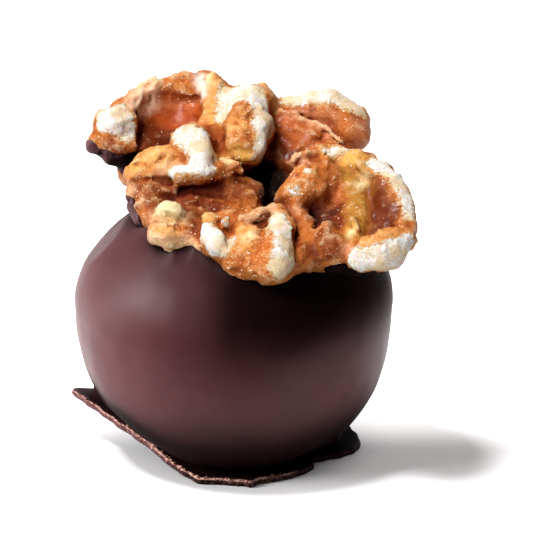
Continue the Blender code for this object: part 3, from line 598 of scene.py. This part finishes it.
def kernel_material():
    material = bpy.data.materials.new("walnut_kernel")
    material.use_nodes = True
    tree = material.node_tree
    shader = tree.nodes["Principled BSDF"]
    here = add(tree, "ShaderNodeTexCoord").outputs["Object"]
    middling, fine = grain(tree, here, 1300, 4, 0.65), grain(tree, here, 4200, 4, 0.7)
    dust = grain(tree, here, 11000, 2, 0.6)
    crest, gloss = painted(tree, "crest"), painted(tree, "gloss")
    color = add(tree, "ShaderNodeAttribute", attribute_name="skin_tone").outputs["Color"]
    # the skin is mottled: darker and redder in creases and flecks, paler on edges
    level = math_of(tree, "ADD", math_of(tree, "MULTIPLY", crest, 0.26), math_of(tree, "ADD", math_of(tree, "MULTIPLY", middling, 0.62), math_of(tree, "MULTIPLY", fine, 0.38)))
    mottle = math_of(tree, "SUBTRACT", 1.0, math_of(tree, "MULTIPLY", gloss, 0.6))
    deep = add(tree, "ShaderNodeMix", {0: 1.0, 6: color, 7: (0.60, 0.34, 0.18, 1)}, data_type="RGBA", blend_type="MULTIPLY").outputs[2]
    color = mixed(tree, math_of(tree, "MULTIPLY", mottle, math_of(tree, "SUBTRACT", 1.0, eased(tree, level, 0.36, 0.54))), color, deep)
    pale = mixed(tree, 0.6, color, tone("f8deb0"))
    color = mixed(tree, math_of(tree, "MULTIPLY", eased(tree, level, 0.54, 0.72), math_of(tree, "MULTIPLY", mottle, 0.75)), color, pale)
    # painted shade: down between the folds, where they are shut in from the light, the skin is painted darker and
    # redder
    shade = add(tree, "ShaderNodeMix", {0: 1.0, 6: color, 7: (0.5, 0.27, 0.15, 1)}, data_type="RGBA", blend_type="MULTIPLY").outputs[2]
    color = mixed(tree, openness(tree, 0.005, 0.15, 0.75), shade, color)
    # the rubbed meal has a ragged edge and a fine speckle
    worn = painted(tree, "rubbed")
    tatter = math_of(tree, "MULTIPLY", math_of(tree, "SUBTRACT", math_of(tree, "ADD", middling, fine), 1.0), 1.5)
    ragged = math_of(tree, "ADD", worn, math_of(tree, "MULTIPLY", tatter, eased(tree, worn, 0.0, 0.35)))
    color = mixed(tree, math_of(tree, "MULTIPLY", eased(tree, ragged, 0.08, 0.3), 0.7), color, tone("e6ac68"))
    rubbed = eased(tree, ragged, 0.3, 0.55)
    broad = grain(tree, here, 480, 2, 0.5)
    cream = mixed(tree, eased(tree, broad, 0.42, 0.58), tone("f2dcb8"), tone("fffdf8"))
    pores = math_of(tree, "ADD", math_of(tree, "MULTIPLY", fine, 0.6), math_of(tree, "MULTIPLY", dust, 0.4))
    meal = mixed(tree, eased(tree, math_of(tree, "ADD", pores, math_of(tree, "MULTIPLY", crest, 0.12)), 0.4, 0.54), tone("e2c49e"), cream)
    color = mixed(tree, math_of(tree, "MULTIPLY", rubbed, 0.93), color, meal)
    # single bright grains of meal that cling to the skin
    cells = add(tree, "ShaderNodeTexVoronoi", {"Vector": here, "Scale": 3400})
    patchy = math_of(tree, "ADD", cells.outputs["Color"], math_of(tree, "MULTIPLY", math_of(tree, "SUBTRACT", middling, 0.5), 1.6))
    specks = math_of(tree, "MULTIPLY", eased(tree, math_of(tree, "SUBTRACT", 0.26, cells.outputs["Distance"]), 0.0, 0.1),
                     math_of(tree, "MULTIPLY", eased(tree, patchy, 0.77, 0.85), eased(tree, painted(tree, "grit"), 0.05, 0.5)))
    color = mixed(tree, math_of(tree, "MULTIPLY", specks, 0.65), color, tone("fbe6c4"))
    shader.inputs["Subsurface Weight"].default_value = 0.3
    shader.inputs["Subsurface Radius"].default_value = (1.0, 0.38, 0.14)
    shader.inputs["Subsurface Scale"].default_value = 0.0006
    shader.inputs["Coat Roughness"].default_value = 0.14
    shader.inputs["Specular IOR Level"].default_value = 0.17
    tree.links.new(color, shader.inputs["Base Color"])
    bare = math_of(tree, "SUBTRACT", 1.0, rubbed)
    shine = math_of(tree, "MULTIPLY", gloss, bare)
    dull = math_of(tree, "SUBTRACT", math_of(tree, "ADD", 0.5, math_of(tree, "MULTIPLY", fine, 0.2)), math_of(tree, "MULTIPLY", shine, 0.25))
    tree.links.new(math_of(tree, "ADD", dull, math_of(tree, "MULTIPLY", rubbed, 0.25)), shader.inputs["Roughness"])
    tree.links.new(math_of(tree, "MULTIPLY", shine, 0.2), shader.inputs["Coat Weight"])
    coarse = math_of(tree, "SUBTRACT", 1.1, shine)
    grains = math_of(tree, "ADD", math_of(tree, "MULTIPLY", middling, 1.6), math_of(tree, "ADD", fine, math_of(tree, "MULTIPLY", dust, 0.3)))
    height = math_of(tree, "ADD", math_of(tree, "MULTIPLY", coarse, grains), math_of(tree, "ADD", math_of(tree, "MULTIPLY", specks, 0.4), math_of(tree, "MULTIPLY", rubbed, math_of(tree, "ADD", 0.5, math_of(tree, "MULTIPLY", dust, 0.8)))))
    bump = add(tree, "ShaderNodeBump", {"Height": height, "Distance": 0.00024, "Strength": 0.75})
    tree.links.new(bump.outputs["Normal"], shader.inputs["Normal"])
    return material


kernel.data.materials.append(kernel_material())
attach(kernel, "root")
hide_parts("walnut")


# ---- the chocolate ----
# A ball of dark chocolate, dipped and set down wet: the run-off has set round it as a thin foot, which lies flat
# at the right and in front and curls up off the ground at the left, where it broke away along a rough edge.
BALL_RADIUS = 15.0
WAIST_HEIGHT = 13.8
LOWER_DEPTH, LOWER_POWER = 15.74, 2.2
UPPER_HEIGHT, UPPER_POWER = 11.6, 1.8
RIGHT_SPREAD, LEFT_SPREAD = 0.12, 0.09
LEFT_FLAT = (22.46, 0.74, 0.672)
FOOT_THICK = 0.62
ROOT_CURVE, TUCK_CURVE = 0.9, 2.8
LIFT_FROM_X, LIFT_SLOPE = -4.4, 0.37
# plan of the foot, as (angle from +X in degrees, radius)
FOOT_EDGE = ((0, 11.75), (7, 11.3), (20, 11.2), (45, 11.3), (75, 11.6), (105, 11.9), (130, 11.6), (150, 12.4),
             (165, 14.0), (175, 15.6), (180, 14.3), (185, 12.9), (193, 11.6), (202, 10.4), (215, 9.6), (222, 9.6),
             (236, 9.95), (246, 10.4), (254, 11.2), (264, 11.0), (275, 11.3), (278, 11.7), (283, 11.0), (296, 10.9),
             (307, 10.75), (315, 10.45), (321, 9.4), (329, 10.1), (337, 11.2), (344, 11.9), (350, 12.1), (360, 11.75))
FOOT_ROOT = ((0, 10.2), (20, 9.6), (60, 9.2), (120, 9.4), (150, 10.8), (165, 12.7), (176, 14.0), (185, 12.0),
             (193, 10.7), (202, 9.4), (215, 8.6), (236, 8.6), (254, 9.0), (283, 8.9), (307, 8.6), (322, 8.3),
             (337, 9.2), (350, 10.0), (360, 10.2))
STEPS_ROUND = 384
SEAT_DEPTH, SEAT_RISE = 5.2, 3.6
SEAT_HALF = (12.5, 9.6)
SEAT_FRONT = (7.4, 0.25)
BROKEN_FROM, BROKEN_TO = 172, 306       # the foot broke along its edge between these angles
PROFILE = ([("under", share) for share in np.linspace(0, 1, 12)]
           + [("edge", share) for share in (0.12, 0.28, 0.44, 0.6, 0.76, 0.9)]
           + [("top", share) for share in (0.0, 0.1, 0.25, 0.4, 0.55, 0.7, 0.85)]
           + [("flare", height) for height in (0.0, 0.12, 0.26, 0.42, 0.6, 0.8, 1.05, 1.35, 1.7, 2.1, 2.6)]
           + [("lower", share) for share in np.linspace(0, 1, 30)[1:]]
           + [("upper", share) for share in np.sin(np.linspace(0, math.pi / 2, 54)[1:])])


def around(table, angle):
    """Radius that this table gives at each angle, eased from one entry to the next."""
    knots, radii = np.array(table, float).T
    index = np.clip(np.searchsorted(knots, angle, "right") - 1, 0, len(knots) - 2)
    share = (angle - knots[index]) / (knots[index + 1] - knots[index])
    return radii[index] + (radii[index + 1] - radii[index]) * share * share * (3 - 2 * share)


def lift(x):
    """Height of the foot's underside above the ground."""
    return np.maximum(0, LIFT_SLOPE * np.log1p(np.exp(np.minimum(60, 2 * (LIFT_FROM_X - x)))) / 2 - 0.002)


def ball_radius(z):
    low = 1 - (np.clip(WAIST_HEIGHT - z, 0, LOWER_DEPTH) / LOWER_DEPTH) ** LOWER_POWER
    high = np.maximum(0, 1 - (np.clip(z - WAIST_HEIGHT, 0, UPPER_HEIGHT) / UPPER_HEIGHT) ** UPPER_POWER)
    return BALL_RADIUS * np.where(z < WAIST_HEIGHT, low ** (1 / LOWER_POWER), high ** (1 / UPPER_POWER))


def ring(kind, amount, angle):
    """Radius and height of one ring of the profile at all angles, before the ball is pressed."""
    edge, root = around(FOOT_EDGE, angle), around(FOOT_ROOT, angle)
    side = np.cos(np.radians(angle))
    sole = lift(edge * side)
    if kind == "under":
        return edge * amount, lift(edge * amount * side)
    if kind == "edge":
        return edge + 0.12 * np.sin(math.pi * amount), sole + FOOT_THICK * amount
    top = lift(root * side) + FOOT_THICK
    if kind == "top":
        return edge - 0.06 + (root + 0.06 - edge) * amount, sole + FOOT_THICK + (top - sole - FOOT_THICK) * amount
    if kind == "upper":
        z = WAIST_HEIGHT + UPPER_HEIGHT * amount + 0 * angle
        radius = ball_radius(z)
        spread = np.where(side > 0, RIGHT_SPREAD, LEFT_SPREAD)
        return radius + spread * (z - WAIST_HEIGHT) * side * side * np.minimum(1, radius / 6), z
    step = root - ball_radius(top)
    curve = np.where(step > 0, ROOT_CURVE, TUCK_CURVE)
    reach = PROFILE_FLARE
    z = top + amount if kind == "flare" else top + reach + (WAIST_HEIGHT - top - reach) * amount
    return ball_radius(z) + step * np.exp(-(z - top) / curve), z


PROFILE_FLARE = max(amount for kind, amount in PROFILE if kind == "flare")


def pressed(points):
    """The points after the shoulder's flat and the walnut's dish have been pressed in."""
    distance, nx, nz = LEFT_FLAT
    over = np.maximum(0, nz * points[:, 2] - nx * points[:, 0] - distance)
    points = points - 0.8 * over[:, None] * np.array((-nx, 0, nz))
    local = (points - NUT_CENTRE) @ NUT_AXES.T
    front = np.clip(SEAT_FRONT[0] + SEAT_FRONT[1] * local[:, 0], 5.5, 9.4)
    depth = (local[:, 1] + 0.5) / np.where(local[:, 1] > -0.5, SEAT_HALF[1], front)
    reach = np.minimum(1.6, np.hypot(local[:, 0] / SEAT_HALF[0], depth))
    local[:, 2] = np.where(points[:, 2] > 16, np.minimum(local[:, 2], SEAT_RISE * reach ** 3 - SEAT_DEPTH), local[:, 2])
    return in_world(local)


def soft_relief(point, size):
    return noise.noise(Vector(point) / size)


angles = np.arange(STEPS_ROUND) * 360 / STEPS_ROUND
turn = np.radians(angles)
broken = np.clip(np.minimum(angles - BROKEN_FROM, BROKEN_TO - angles) / 5, 0, 1)
rings, breaks, lit = [], [], []
for kind, amount in PROFILE:
    radius, height = ring(kind, amount, angles)
    ragged = broken * {"edge": math.sin(math.pi * amount) ** 0.5, "top": max(0, 1 - 6 * amount)}.get(kind, 0)
    crisp = broken * {"edge": 0.3 + 0.7 * (amount > 0.85), "top": max(0, 1 - 11 * amount)}.get(kind, 0)
    if ragged.any():
        jag = np.array([soft_relief((a, 7 * amount, 3), 1.7) + 0.6 * soft_relief((a, 9 * amount, 5), 0.7) for a in angles])
        radius = radius + 0.16 * ragged * jag
        height = height + 0.08 * ragged * np.roll(jag, 9)
    rings.append(np.stack((radius * np.cos(turn), radius * np.sin(turn), height), 1))
    breaks.append(crisp)
    # how far the painted shade is kept off the foot's edge and top at the left
    foot = {"edge": 1, "top": 0.8 - 0.6 * amount}.get(kind, 0)
    lit.append(foot * np.clip((-4 - radius * np.cos(turn)) / 4, 0, 1))
body = pressed(np.concatenate(rings))
centre = np.array((0, 0, WAIST_HEIGHT))
away = (body - centre) / np.linalg.norm(body - centre, axis=1)[:, None]
on_ball = np.clip((body[:, 2] - 2.5) / 3, 0, 1)
swell = np.array([0.16 * soft_relief(point, 6.5) + 0.045 * soft_relief(point, 2.1) for point in body])
body += away * (on_ball * swell)[:, None]

# the coat was wet when the walnut went in, so it climbs a little way up it
CLIMB, CLIMB_REACH = 0.75, 0.5
beside = (body - NUT_CENTRE) @ NUT_AXES.T
within = ((beside > GRID_LOW) & (beside < GRID_HIGH)).all(1) & (body[:, 2] > 16)
clear = np.where(within, at_points(field, beside), 9)
body[:, 2] += CLIMB * np.exp(-np.maximum(clear, 0) / CLIMB_REACH) * (clear < 5)

count = len(PROFILE)
number = np.arange(count * STEPS_ROUND).reshape(count, STEPS_ROUND)
number[0] = number[0, 0]
number[-1] = number[-1, 0]
faces = []
for low, high in zip(number, number[1:]):
    for a, b, c, d in zip(low, np.roll(low, -1), np.roll(high, -1), high):
        faces.append(list(dict.fromkeys((int(a), int(b), int(c), int(d)))))
used, packed = np.unique([corner for face in faces for corner in face], return_inverse=True)
packed = iter(packed.tolist())
faces = [[next(packed) for corner in face] for face in faces]
coat = mesh_piece("chocolate_coat", body[used], faces)
paint(coat, "broken", np.concatenate(breaks)[used])
paint(coat, "lit_foot", np.concatenate(lit)[used])


def chocolate_material():
    material = bpy.data.materials.new("dark_chocolate")
    material.use_nodes = True
    tree = material.node_tree
    shader = tree.nodes["Principled BSDF"]
    here = add(tree, "ShaderNodeTexCoord").outputs["Object"]
    cloud, fine = grain(tree, here, 160, 3, 0.55), grain(tree, here, 4200, 3, 0.6)
    color = mixed(tree, eased(tree, cloud, 0.3, 0.7), tone("572f33"), tone("60363a"))
    # painted shade: in the gaps under the walnut and above the foot, as far as they are shut in from the light, the
    # colour is darkened to near black
    place = add(tree, "ShaderNodeSeparateXYZ", {0: here})
    height = place.outputs["Z"]
    upper = eased(tree, height, 0.012, 0.019)
    # the painted shade is darkest in front under the walnut's right lobe, as its shadow, and at the left where the foot
    # curls up
    painted_shadow_under_lobe = math_of(tree, "MULTIPLY", eased(tree, place.outputs["X"], -0.0042, 0.0006),
                         math_of(tree, "MULTIPLY", eased(tree, height, 0.0115, 0.0175), eased(tree, place.outputs["Y"], 0.004, -0.004)))
    slant = math_of(tree, "ADD", height, math_of(tree, "MULTIPLY", place.outputs["X"], 0.65))
    painted_shade_in_curl = math_of(tree, "MULTIPLY", eased(tree, slant, 0.0012, -0.001), eased(tree, height, 0.008, 0.0052))
    lit = math_of(tree, "SUBTRACT", 1.0, math_of(tree, "MAXIMUM", math_of(tree, "MULTIPLY", painted_shadow_under_lobe, 0.9), math_of(tree, "MULTIPLY", painted_shade_in_curl, 0.85)))
    shut = math_of(tree, "ADD", 0.36, math_of(tree, "MULTIPLY", upper, 0.28))
    opened = math_of(tree, "ADD", 0.84, math_of(tree, "MULTIPLY", upper, 0.16))
    unshaded = math_of(tree, "MAXIMUM", math_of(tree, "MULTIPLY", openness(tree, 0.015, shut, opened), lit), painted(tree, "lit_foot"))
    # painted shade: the colour goes to near black where the coat is not left unshaded
    color = mixed(tree, unshaded, tone("120505"), color)
    snapped = painted(tree, "broken")
    rough = mixed(tree, eased(tree, fine, 0.38, 0.62), tone("7a4034"), tone("e0b2a2"))
    color = mixed(tree, eased(tree, math_of(tree, "ADD", snapped, math_of(tree, "MULTIPLY", math_of(tree, "SUBTRACT", fine, 0.5), 0.8)), 0.25, 0.85), color, rough)
    tree.links.new(color, shader.inputs["Base Color"])
    shader.inputs["Specular IOR Level"].default_value = 0.06
    shader.inputs["Coat Roughness"].default_value = 0.42
    shader.inputs["Coat IOR"].default_value = 1.35
    # where shade is painted the coat's sheen fades and the surface dulls
    tree.links.new(math_of(tree, "MULTIPLY", unshaded, 0.4), shader.inputs["Coat Weight"])
    gloss = math_of(tree, "ADD", math_of(tree, "MULTIPLY", snapped, 0.3), math_of(tree, "ADD", 0.4, math_of(tree, "MULTIPLY", cloud, 0.1)))
    gloss = math_of(tree, "ADD", gloss, math_of(tree, "MULTIPLY", math_of(tree, "SUBTRACT", 1.0, unshaded), 0.4))
    tree.links.new(gloss, shader.inputs["Roughness"])
    shader.inputs["Specular Tint"].default_value = (1.0, 0.72, 0.7, 1)
    height = math_of(tree, "ADD", math_of(tree, "MULTIPLY", fine, 0.05), math_of(tree, "MULTIPLY", snapped, math_of(tree, "MULTIPLY", fine, 1.0)))
    bump = add(tree, "ShaderNodeBump", {"Height": height, "Distance": 0.0001, "Strength": 0.7})
    tree.links.new(bump.outputs["Normal"], shader.inputs["Normal"])
    return material


dark_chocolate = chocolate_material()
coat.data.materials.append(dark_chocolate)
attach(coat, "root")
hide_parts("chocolate")


# ---- the crumbs ----
# Splinters of the coat that stayed on the foot where it snapped off the tray, each a small rough lump.
CRUMBS = 46
CRUMB_RADII = (0.06, 0.19)


def crumb_points():
    """Middle and radius of each crumb, along the top of the broken edge."""
    random = np.random.default_rng(8)
    found = []
    for _ in range(CRUMBS):
        angle = random.uniform(BROKEN_FROM + 2, BROKEN_TO - 2)
        turn = math.radians(angle)
        edge = float(around(FOOT_EDGE, np.array([angle]))[0]) + random.uniform(-0.35, 0.06)
        size = CRUMB_RADII[0] + (CRUMB_RADII[1] - CRUMB_RADII[0]) * random.random() ** 2.5
        height = float(lift(edge * math.cos(turn))) + FOOT_THICK + 0.3 * size
        found.append(((edge * math.cos(turn), edge * math.sin(turn), height), size))
    # the one large crumb, at the left in front
    turn = math.radians(218)
    found.append(((9.55 * math.cos(turn), 9.55 * math.sin(turn), float(lift(9.55 * math.cos(turn))) + FOOT_THICK), 0.3))
    return found


crumb_mesh = bmesh.new()
for middle, size in crumb_points():
    lump = bmesh.ops.create_icosphere(crumb_mesh, subdivisions=2, radius=size)["verts"]
    for vertex in lump:
        rough = 1 + 0.45 * soft_relief(vertex.co + 3 * Vector(middle), 0.6 * size)
        vertex.co = Vector([m + c * k * rough for m, c, k in zip(middle, vertex.co, (1.25, 1.0, 0.8))])
crumb_mesh.verts.index_update()
crumbs = mesh_piece("edge_crumbs", np.array([v.co for v in crumb_mesh.verts]), [[v.index for v in f.verts] for f in crumb_mesh.faces])
crumb_mesh.free()
paint(crumbs, "broken", np.full(len(crumbs.data.vertices), 0.9))
paint(crumbs, "lit_foot", np.ones(len(crumbs.data.vertices)))
crumbs.data.materials.append(dark_chocolate)
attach(crumbs, "root")


# ---- the chocolate on the walnut ----
# Where the kernel was pushed through the wet coat it kept some: a thick lick under its left lobe, a bead low at
# its left and a little in the notch beside the right lobe. It sticks to the kernel and thins out to nothing.
LICKS = (
    (((-14.3, 6.1, -1.7), 0.6), ((-13.0, 5.3, -2.2), 0.8), ((-11.3, 4.8, -2.6), 0.7)),
    (((-10.7, -0.9, -2.9), 0.7), ((-9.9, -2.6, -3.2), 0.7)),
    (((7.8, -9.1, -2.3), 0.7), ((9.6, -9.4, -2.6), 0.8)),
)
FILM_THICK = 0.2

places = np.stack(np.meshgrid(*grid_lines(), indexing="ij"), -1).astype(np.float32)
film = np.full(field.shape, 3.0, np.float32)
for knots in LICKS:
    lay_run(film, places, knots, 1.5, lambda old, new: blended(old, new, 0.5))
film = blended(film, np.maximum(field - FILM_THICK, film - 0.6 + 0.25 * lumps(1.5, 61)), 0.3)
film_points, film_faces = skin_of(film)
licks = mesh_piece("chocolate_licks", in_world(film_points), film_faces)
licks.data.materials.append(dark_chocolate)
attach(licks, "root")
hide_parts("chocolate")


# ---- the loose bits ----
# Grains of walnut meal that cling to the kernel, as thick as its "grit" says; the crumbs of the foot's snapped edge are
# made above.
# Each grain is a tiny lump, scattered over the skin it sticks to.
GRAIN_RADIUS = 0.055        # mm
GRAINS_PER_CM2 = 760

def scatter_tree(material):
    """Geometry nodes that set grains on the faces of a mesh, as thick as its "grit" says."""
    tree = bpy.data.node_groups.new("scattered_grains", "GeometryNodeTree")
    sockets = {}
    for name, kind in (("Geometry", "NodeSocketGeometry"), ("Density", "NodeSocketFloat"), ("Radius", "NodeSocketFloat"), ("Seed", "NodeSocketInt")):
        sockets[name] = tree.interface.new_socket(name, in_out="INPUT", socket_type=kind).identifier
    tree.interface.new_socket("Geometry", in_out="OUTPUT", socket_type="NodeSocketGeometry")
    source, sink = tree.nodes.new("NodeGroupInput"), tree.nodes.new("NodeGroupOutput")
    grit = add(tree, "GeometryNodeInputNamedAttribute", {"Name": "grit"}, data_type="FLOAT").outputs["Attribute"]
    density = math_of(tree, "MULTIPLY", source.outputs["Density"], grit)
    points = add(tree, "GeometryNodeDistributePointsOnFaces", {"Mesh": source.outputs["Geometry"], "Density": density, "Seed": source.outputs["Seed"]})
    size = add(tree, "FunctionNodeRandomValue", {2: 0.5, 3: 1.4, "Seed": source.outputs["Seed"]}, data_type="FLOAT").outputs[1]
    stretch = add(tree, "FunctionNodeRandomValue", {0: (0.6, 0.6, 0.5), 1: (1.6, 1.2, 1.0), "Seed": source.outputs["Seed"]}, data_type="FLOAT_VECTOR").outputs[0]
    scale = add(tree, "ShaderNodeVectorMath", {0: stretch, "Scale": size}, operation="SCALE").outputs[0]
    lump = add(tree, "GeometryNodeMeshIcoSphere", {"Radius": source.outputs["Radius"], "Subdivisions": 1}).outputs["Mesh"]
    placed = add(tree, "GeometryNodeInstanceOnPoints", {"Points": points.outputs["Points"], "Instance": lump, "Rotation": points.outputs["Rotation"], "Scale": scale})
    realized = add(tree, "GeometryNodeRealizeInstances", {"Geometry": placed.outputs["Instances"]}).outputs[0]
    finished = add(tree, "GeometryNodeSetMaterial", {"Geometry": realized, "Material": material}).outputs[0]
    tree.links.new(finished, sink.inputs[0])
    return tree, sockets


def meal_material():
    material = bpy.data.materials.new("walnut_meal")
    material.use_nodes = True
    tree = material.node_tree
    shader = tree.nodes["Principled BSDF"]
    here = add(tree, "ShaderNodeTexCoord").outputs["Object"]
    color = mixed(tree, eased(tree, grain(tree, here, 1800, 2, 0.5), 0.4, 0.6), tone("e2a864"), tone("fff2da"))
    tree.links.new(color, shader.inputs["Base Color"])
    shader.inputs["Roughness"].default_value = 0.5
    shader.inputs["Specular IOR Level"].default_value = 0.3
    return material


bed = bpy.data.objects.new("grain_bed", kernel.data.copy())
bpy.context.scene.collection.objects.link(bed)
scatter, inputs = scatter_tree(meal_material())
modifier = bed.modifiers.new("grains", "NODES")
modifier.node_group = scatter
for name, value in (("Density", GRAINS_PER_CM2 * 1e4), ("Radius", GRAIN_RADIUS * MM), ("Seed", 5)):
    modifier[inputs[name]] = value
graph = bpy.context.evaluated_depsgraph_get()
meal_mesh = bpy.data.meshes.new_from_object(bed.evaluated_get(graph), depsgraph=graph)
bpy.data.objects.remove(bed)
meal = bpy.data.objects.new("meal_grains", meal_mesh)
bpy.context.scene.collection.objects.link(meal)
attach(meal, "root")


# ---- the floor, the light and the camera ----
# A white studio table. The main light is a soft box almost overhead at the left, a wide one fills from lower at
# the left, the wall behind is bright, and it is dark where the camera stands.
VIEW_HEIGHT = math.radians(19)
VIEW_DISTANCE = 0.249
VIEW_TARGET = Vector((0.00434, 0, 0.01626))

floor_mesh = bpy.data.meshes.new("floor")
floor_mesh.from_pydata([(-0.6, -0.031, 0), (0.6, -0.031, 0), (0.6, 1.2, 0), (-0.6, 1.2, 0)], [], [(0, 1, 2, 3)])
floor = bpy.data.objects.new("floor", floor_mesh)
bpy.context.scene.collection.objects.link(floor)
paper = bpy.data.materials.new("white_table")
paper.use_nodes = True
paper_shader = paper.node_tree.nodes["Principled BSDF"]
paper_shader.inputs["Base Color"].default_value = (0.85, 0.84, 0.845, 1)
paper_shader.inputs["Roughness"].default_value = 0.9
paper_here = add(paper.node_tree, "ShaderNodeSeparateXYZ", {0: add(paper.node_tree, "ShaderNodeTexCoord").outputs["Object"]})
# the table's glow is painted light: brighter behind the truffle, and dimmed next to it as a painted contact shadow
contact = openness(paper.node_tree, 0.007, 0.1, 0.7)
glow_with_painted_contact_shadow = math_of(paper.node_tree, "MULTIPLY", contact, 0.31)
painted_glow_behind = math_of(paper.node_tree, "MULTIPLY", eased(paper.node_tree, paper_here.outputs["Y"], -0.003, 0.006), 0.7)
painted_table_glow = mixed(paper.node_tree, math_of(paper.node_tree, "ADD", glow_with_painted_contact_shadow, painted_glow_behind), (0, 0, 0, 1), (1, 0.97, 0.97, 1))
paper.node_tree.links.new(painted_table_glow, paper_shader.inputs["Emission Color"])
paper_shader.inputs["Emission Strength"].default_value = 1.0
paper_shader.inputs["Specular IOR Level"].default_value = 0.1
floor_mesh.materials.append(paper)


def soft_box(name, toward, distance, size, power):
    """A square light that shines on the truffle from this direction."""
    light = bpy.data.lights.new(name, "AREA")
    light.energy = power
    light.size = size
    lamp = bpy.data.objects.new(name, light)
    bpy.context.scene.collection.objects.link(lamp)
    toward = Vector(toward).normalized()
    lamp.location = Vector((0, 0, 0.017)) + distance * toward
    lamp.rotation_euler = (-toward).to_track_quat("-Z", "Y").to_euler()
    return lamp


def shines_on(lamp, name, *pieces):
    """Lets the lamp light these pieces only."""
    lit = bpy.data.collections.new(name)
    for piece in pieces:
        lit.objects.link(piece)
    lamp.light_linking.receiver_collection = lit


shines_on(soft_box("key", (-0.31, -0.13, 1), 0.8, 0.13, 6.6), "lit_by_key", floor)
shines_on(soft_box("skim", (-1, -0.3, 0.5), 0.8, 0.3, 7.0), "lit_by_skim", floor)
shines_on(soft_box("top", (-0.4, -0.15, 1), 0.8, 0.2, 6.1), "lit_by_top", kernel, meal)
shines_on(soft_box("window", (-0.78, -0.2, 0.56), 0.8, 0.3, 7.6), "lit_by_window", coat, licks, crumbs)
shines_on(soft_box("side", (-1, 0.1, 0.22), 0.8, 0.4, 3.4), "lit_by_side", coat, licks, crumbs)
shines_on(soft_box("glow", (-0.5, -0.9, 0.7), 0.8, 0.3, 6.0), "lit_by_glow", kernel, meal)

world = bpy.data.worlds.new("studio")
bpy.context.scene.world = world
world.use_nodes = True
studio = world.node_tree
direction = add(studio, "ShaderNodeSeparateXYZ", {0: add(studio, "ShaderNodeTexCoord").outputs["Generated"]})
behind = eased(studio, direction.outputs["Y"], 0.5, 0.95)
wall = mixed(studio, behind, (0.004, 0.004, 0.004, 1), (0.95, 0.95, 0.96, 1))
seen = mixed(studio, add(studio, "ShaderNodeLightPath").outputs["Is Camera Ray"], wall, (1, 1, 1, 1))
studio.links.new(seen, studio.nodes["Background"].inputs["Color"])

camera_data = bpy.data.cameras.new("camera")
camera_data.lens = 169.8
camera_data.sensor_width = 36
camera_data.clip_start = 0.01
camera = bpy.data.objects.new("camera", camera_data)
bpy.context.scene.collection.objects.link(camera)
camera.location = VIEW_TARGET + VIEW_DISTANCE * Vector((0, -math.cos(VIEW_HEIGHT), math.sin(VIEW_HEIGHT)))
camera.rotation_euler = (math.pi / 2 - VIEW_HEIGHT, 0, 0)
bpy.context.scene.camera = camera
bpy.context.scene.view_settings.view_transform = "Standard"
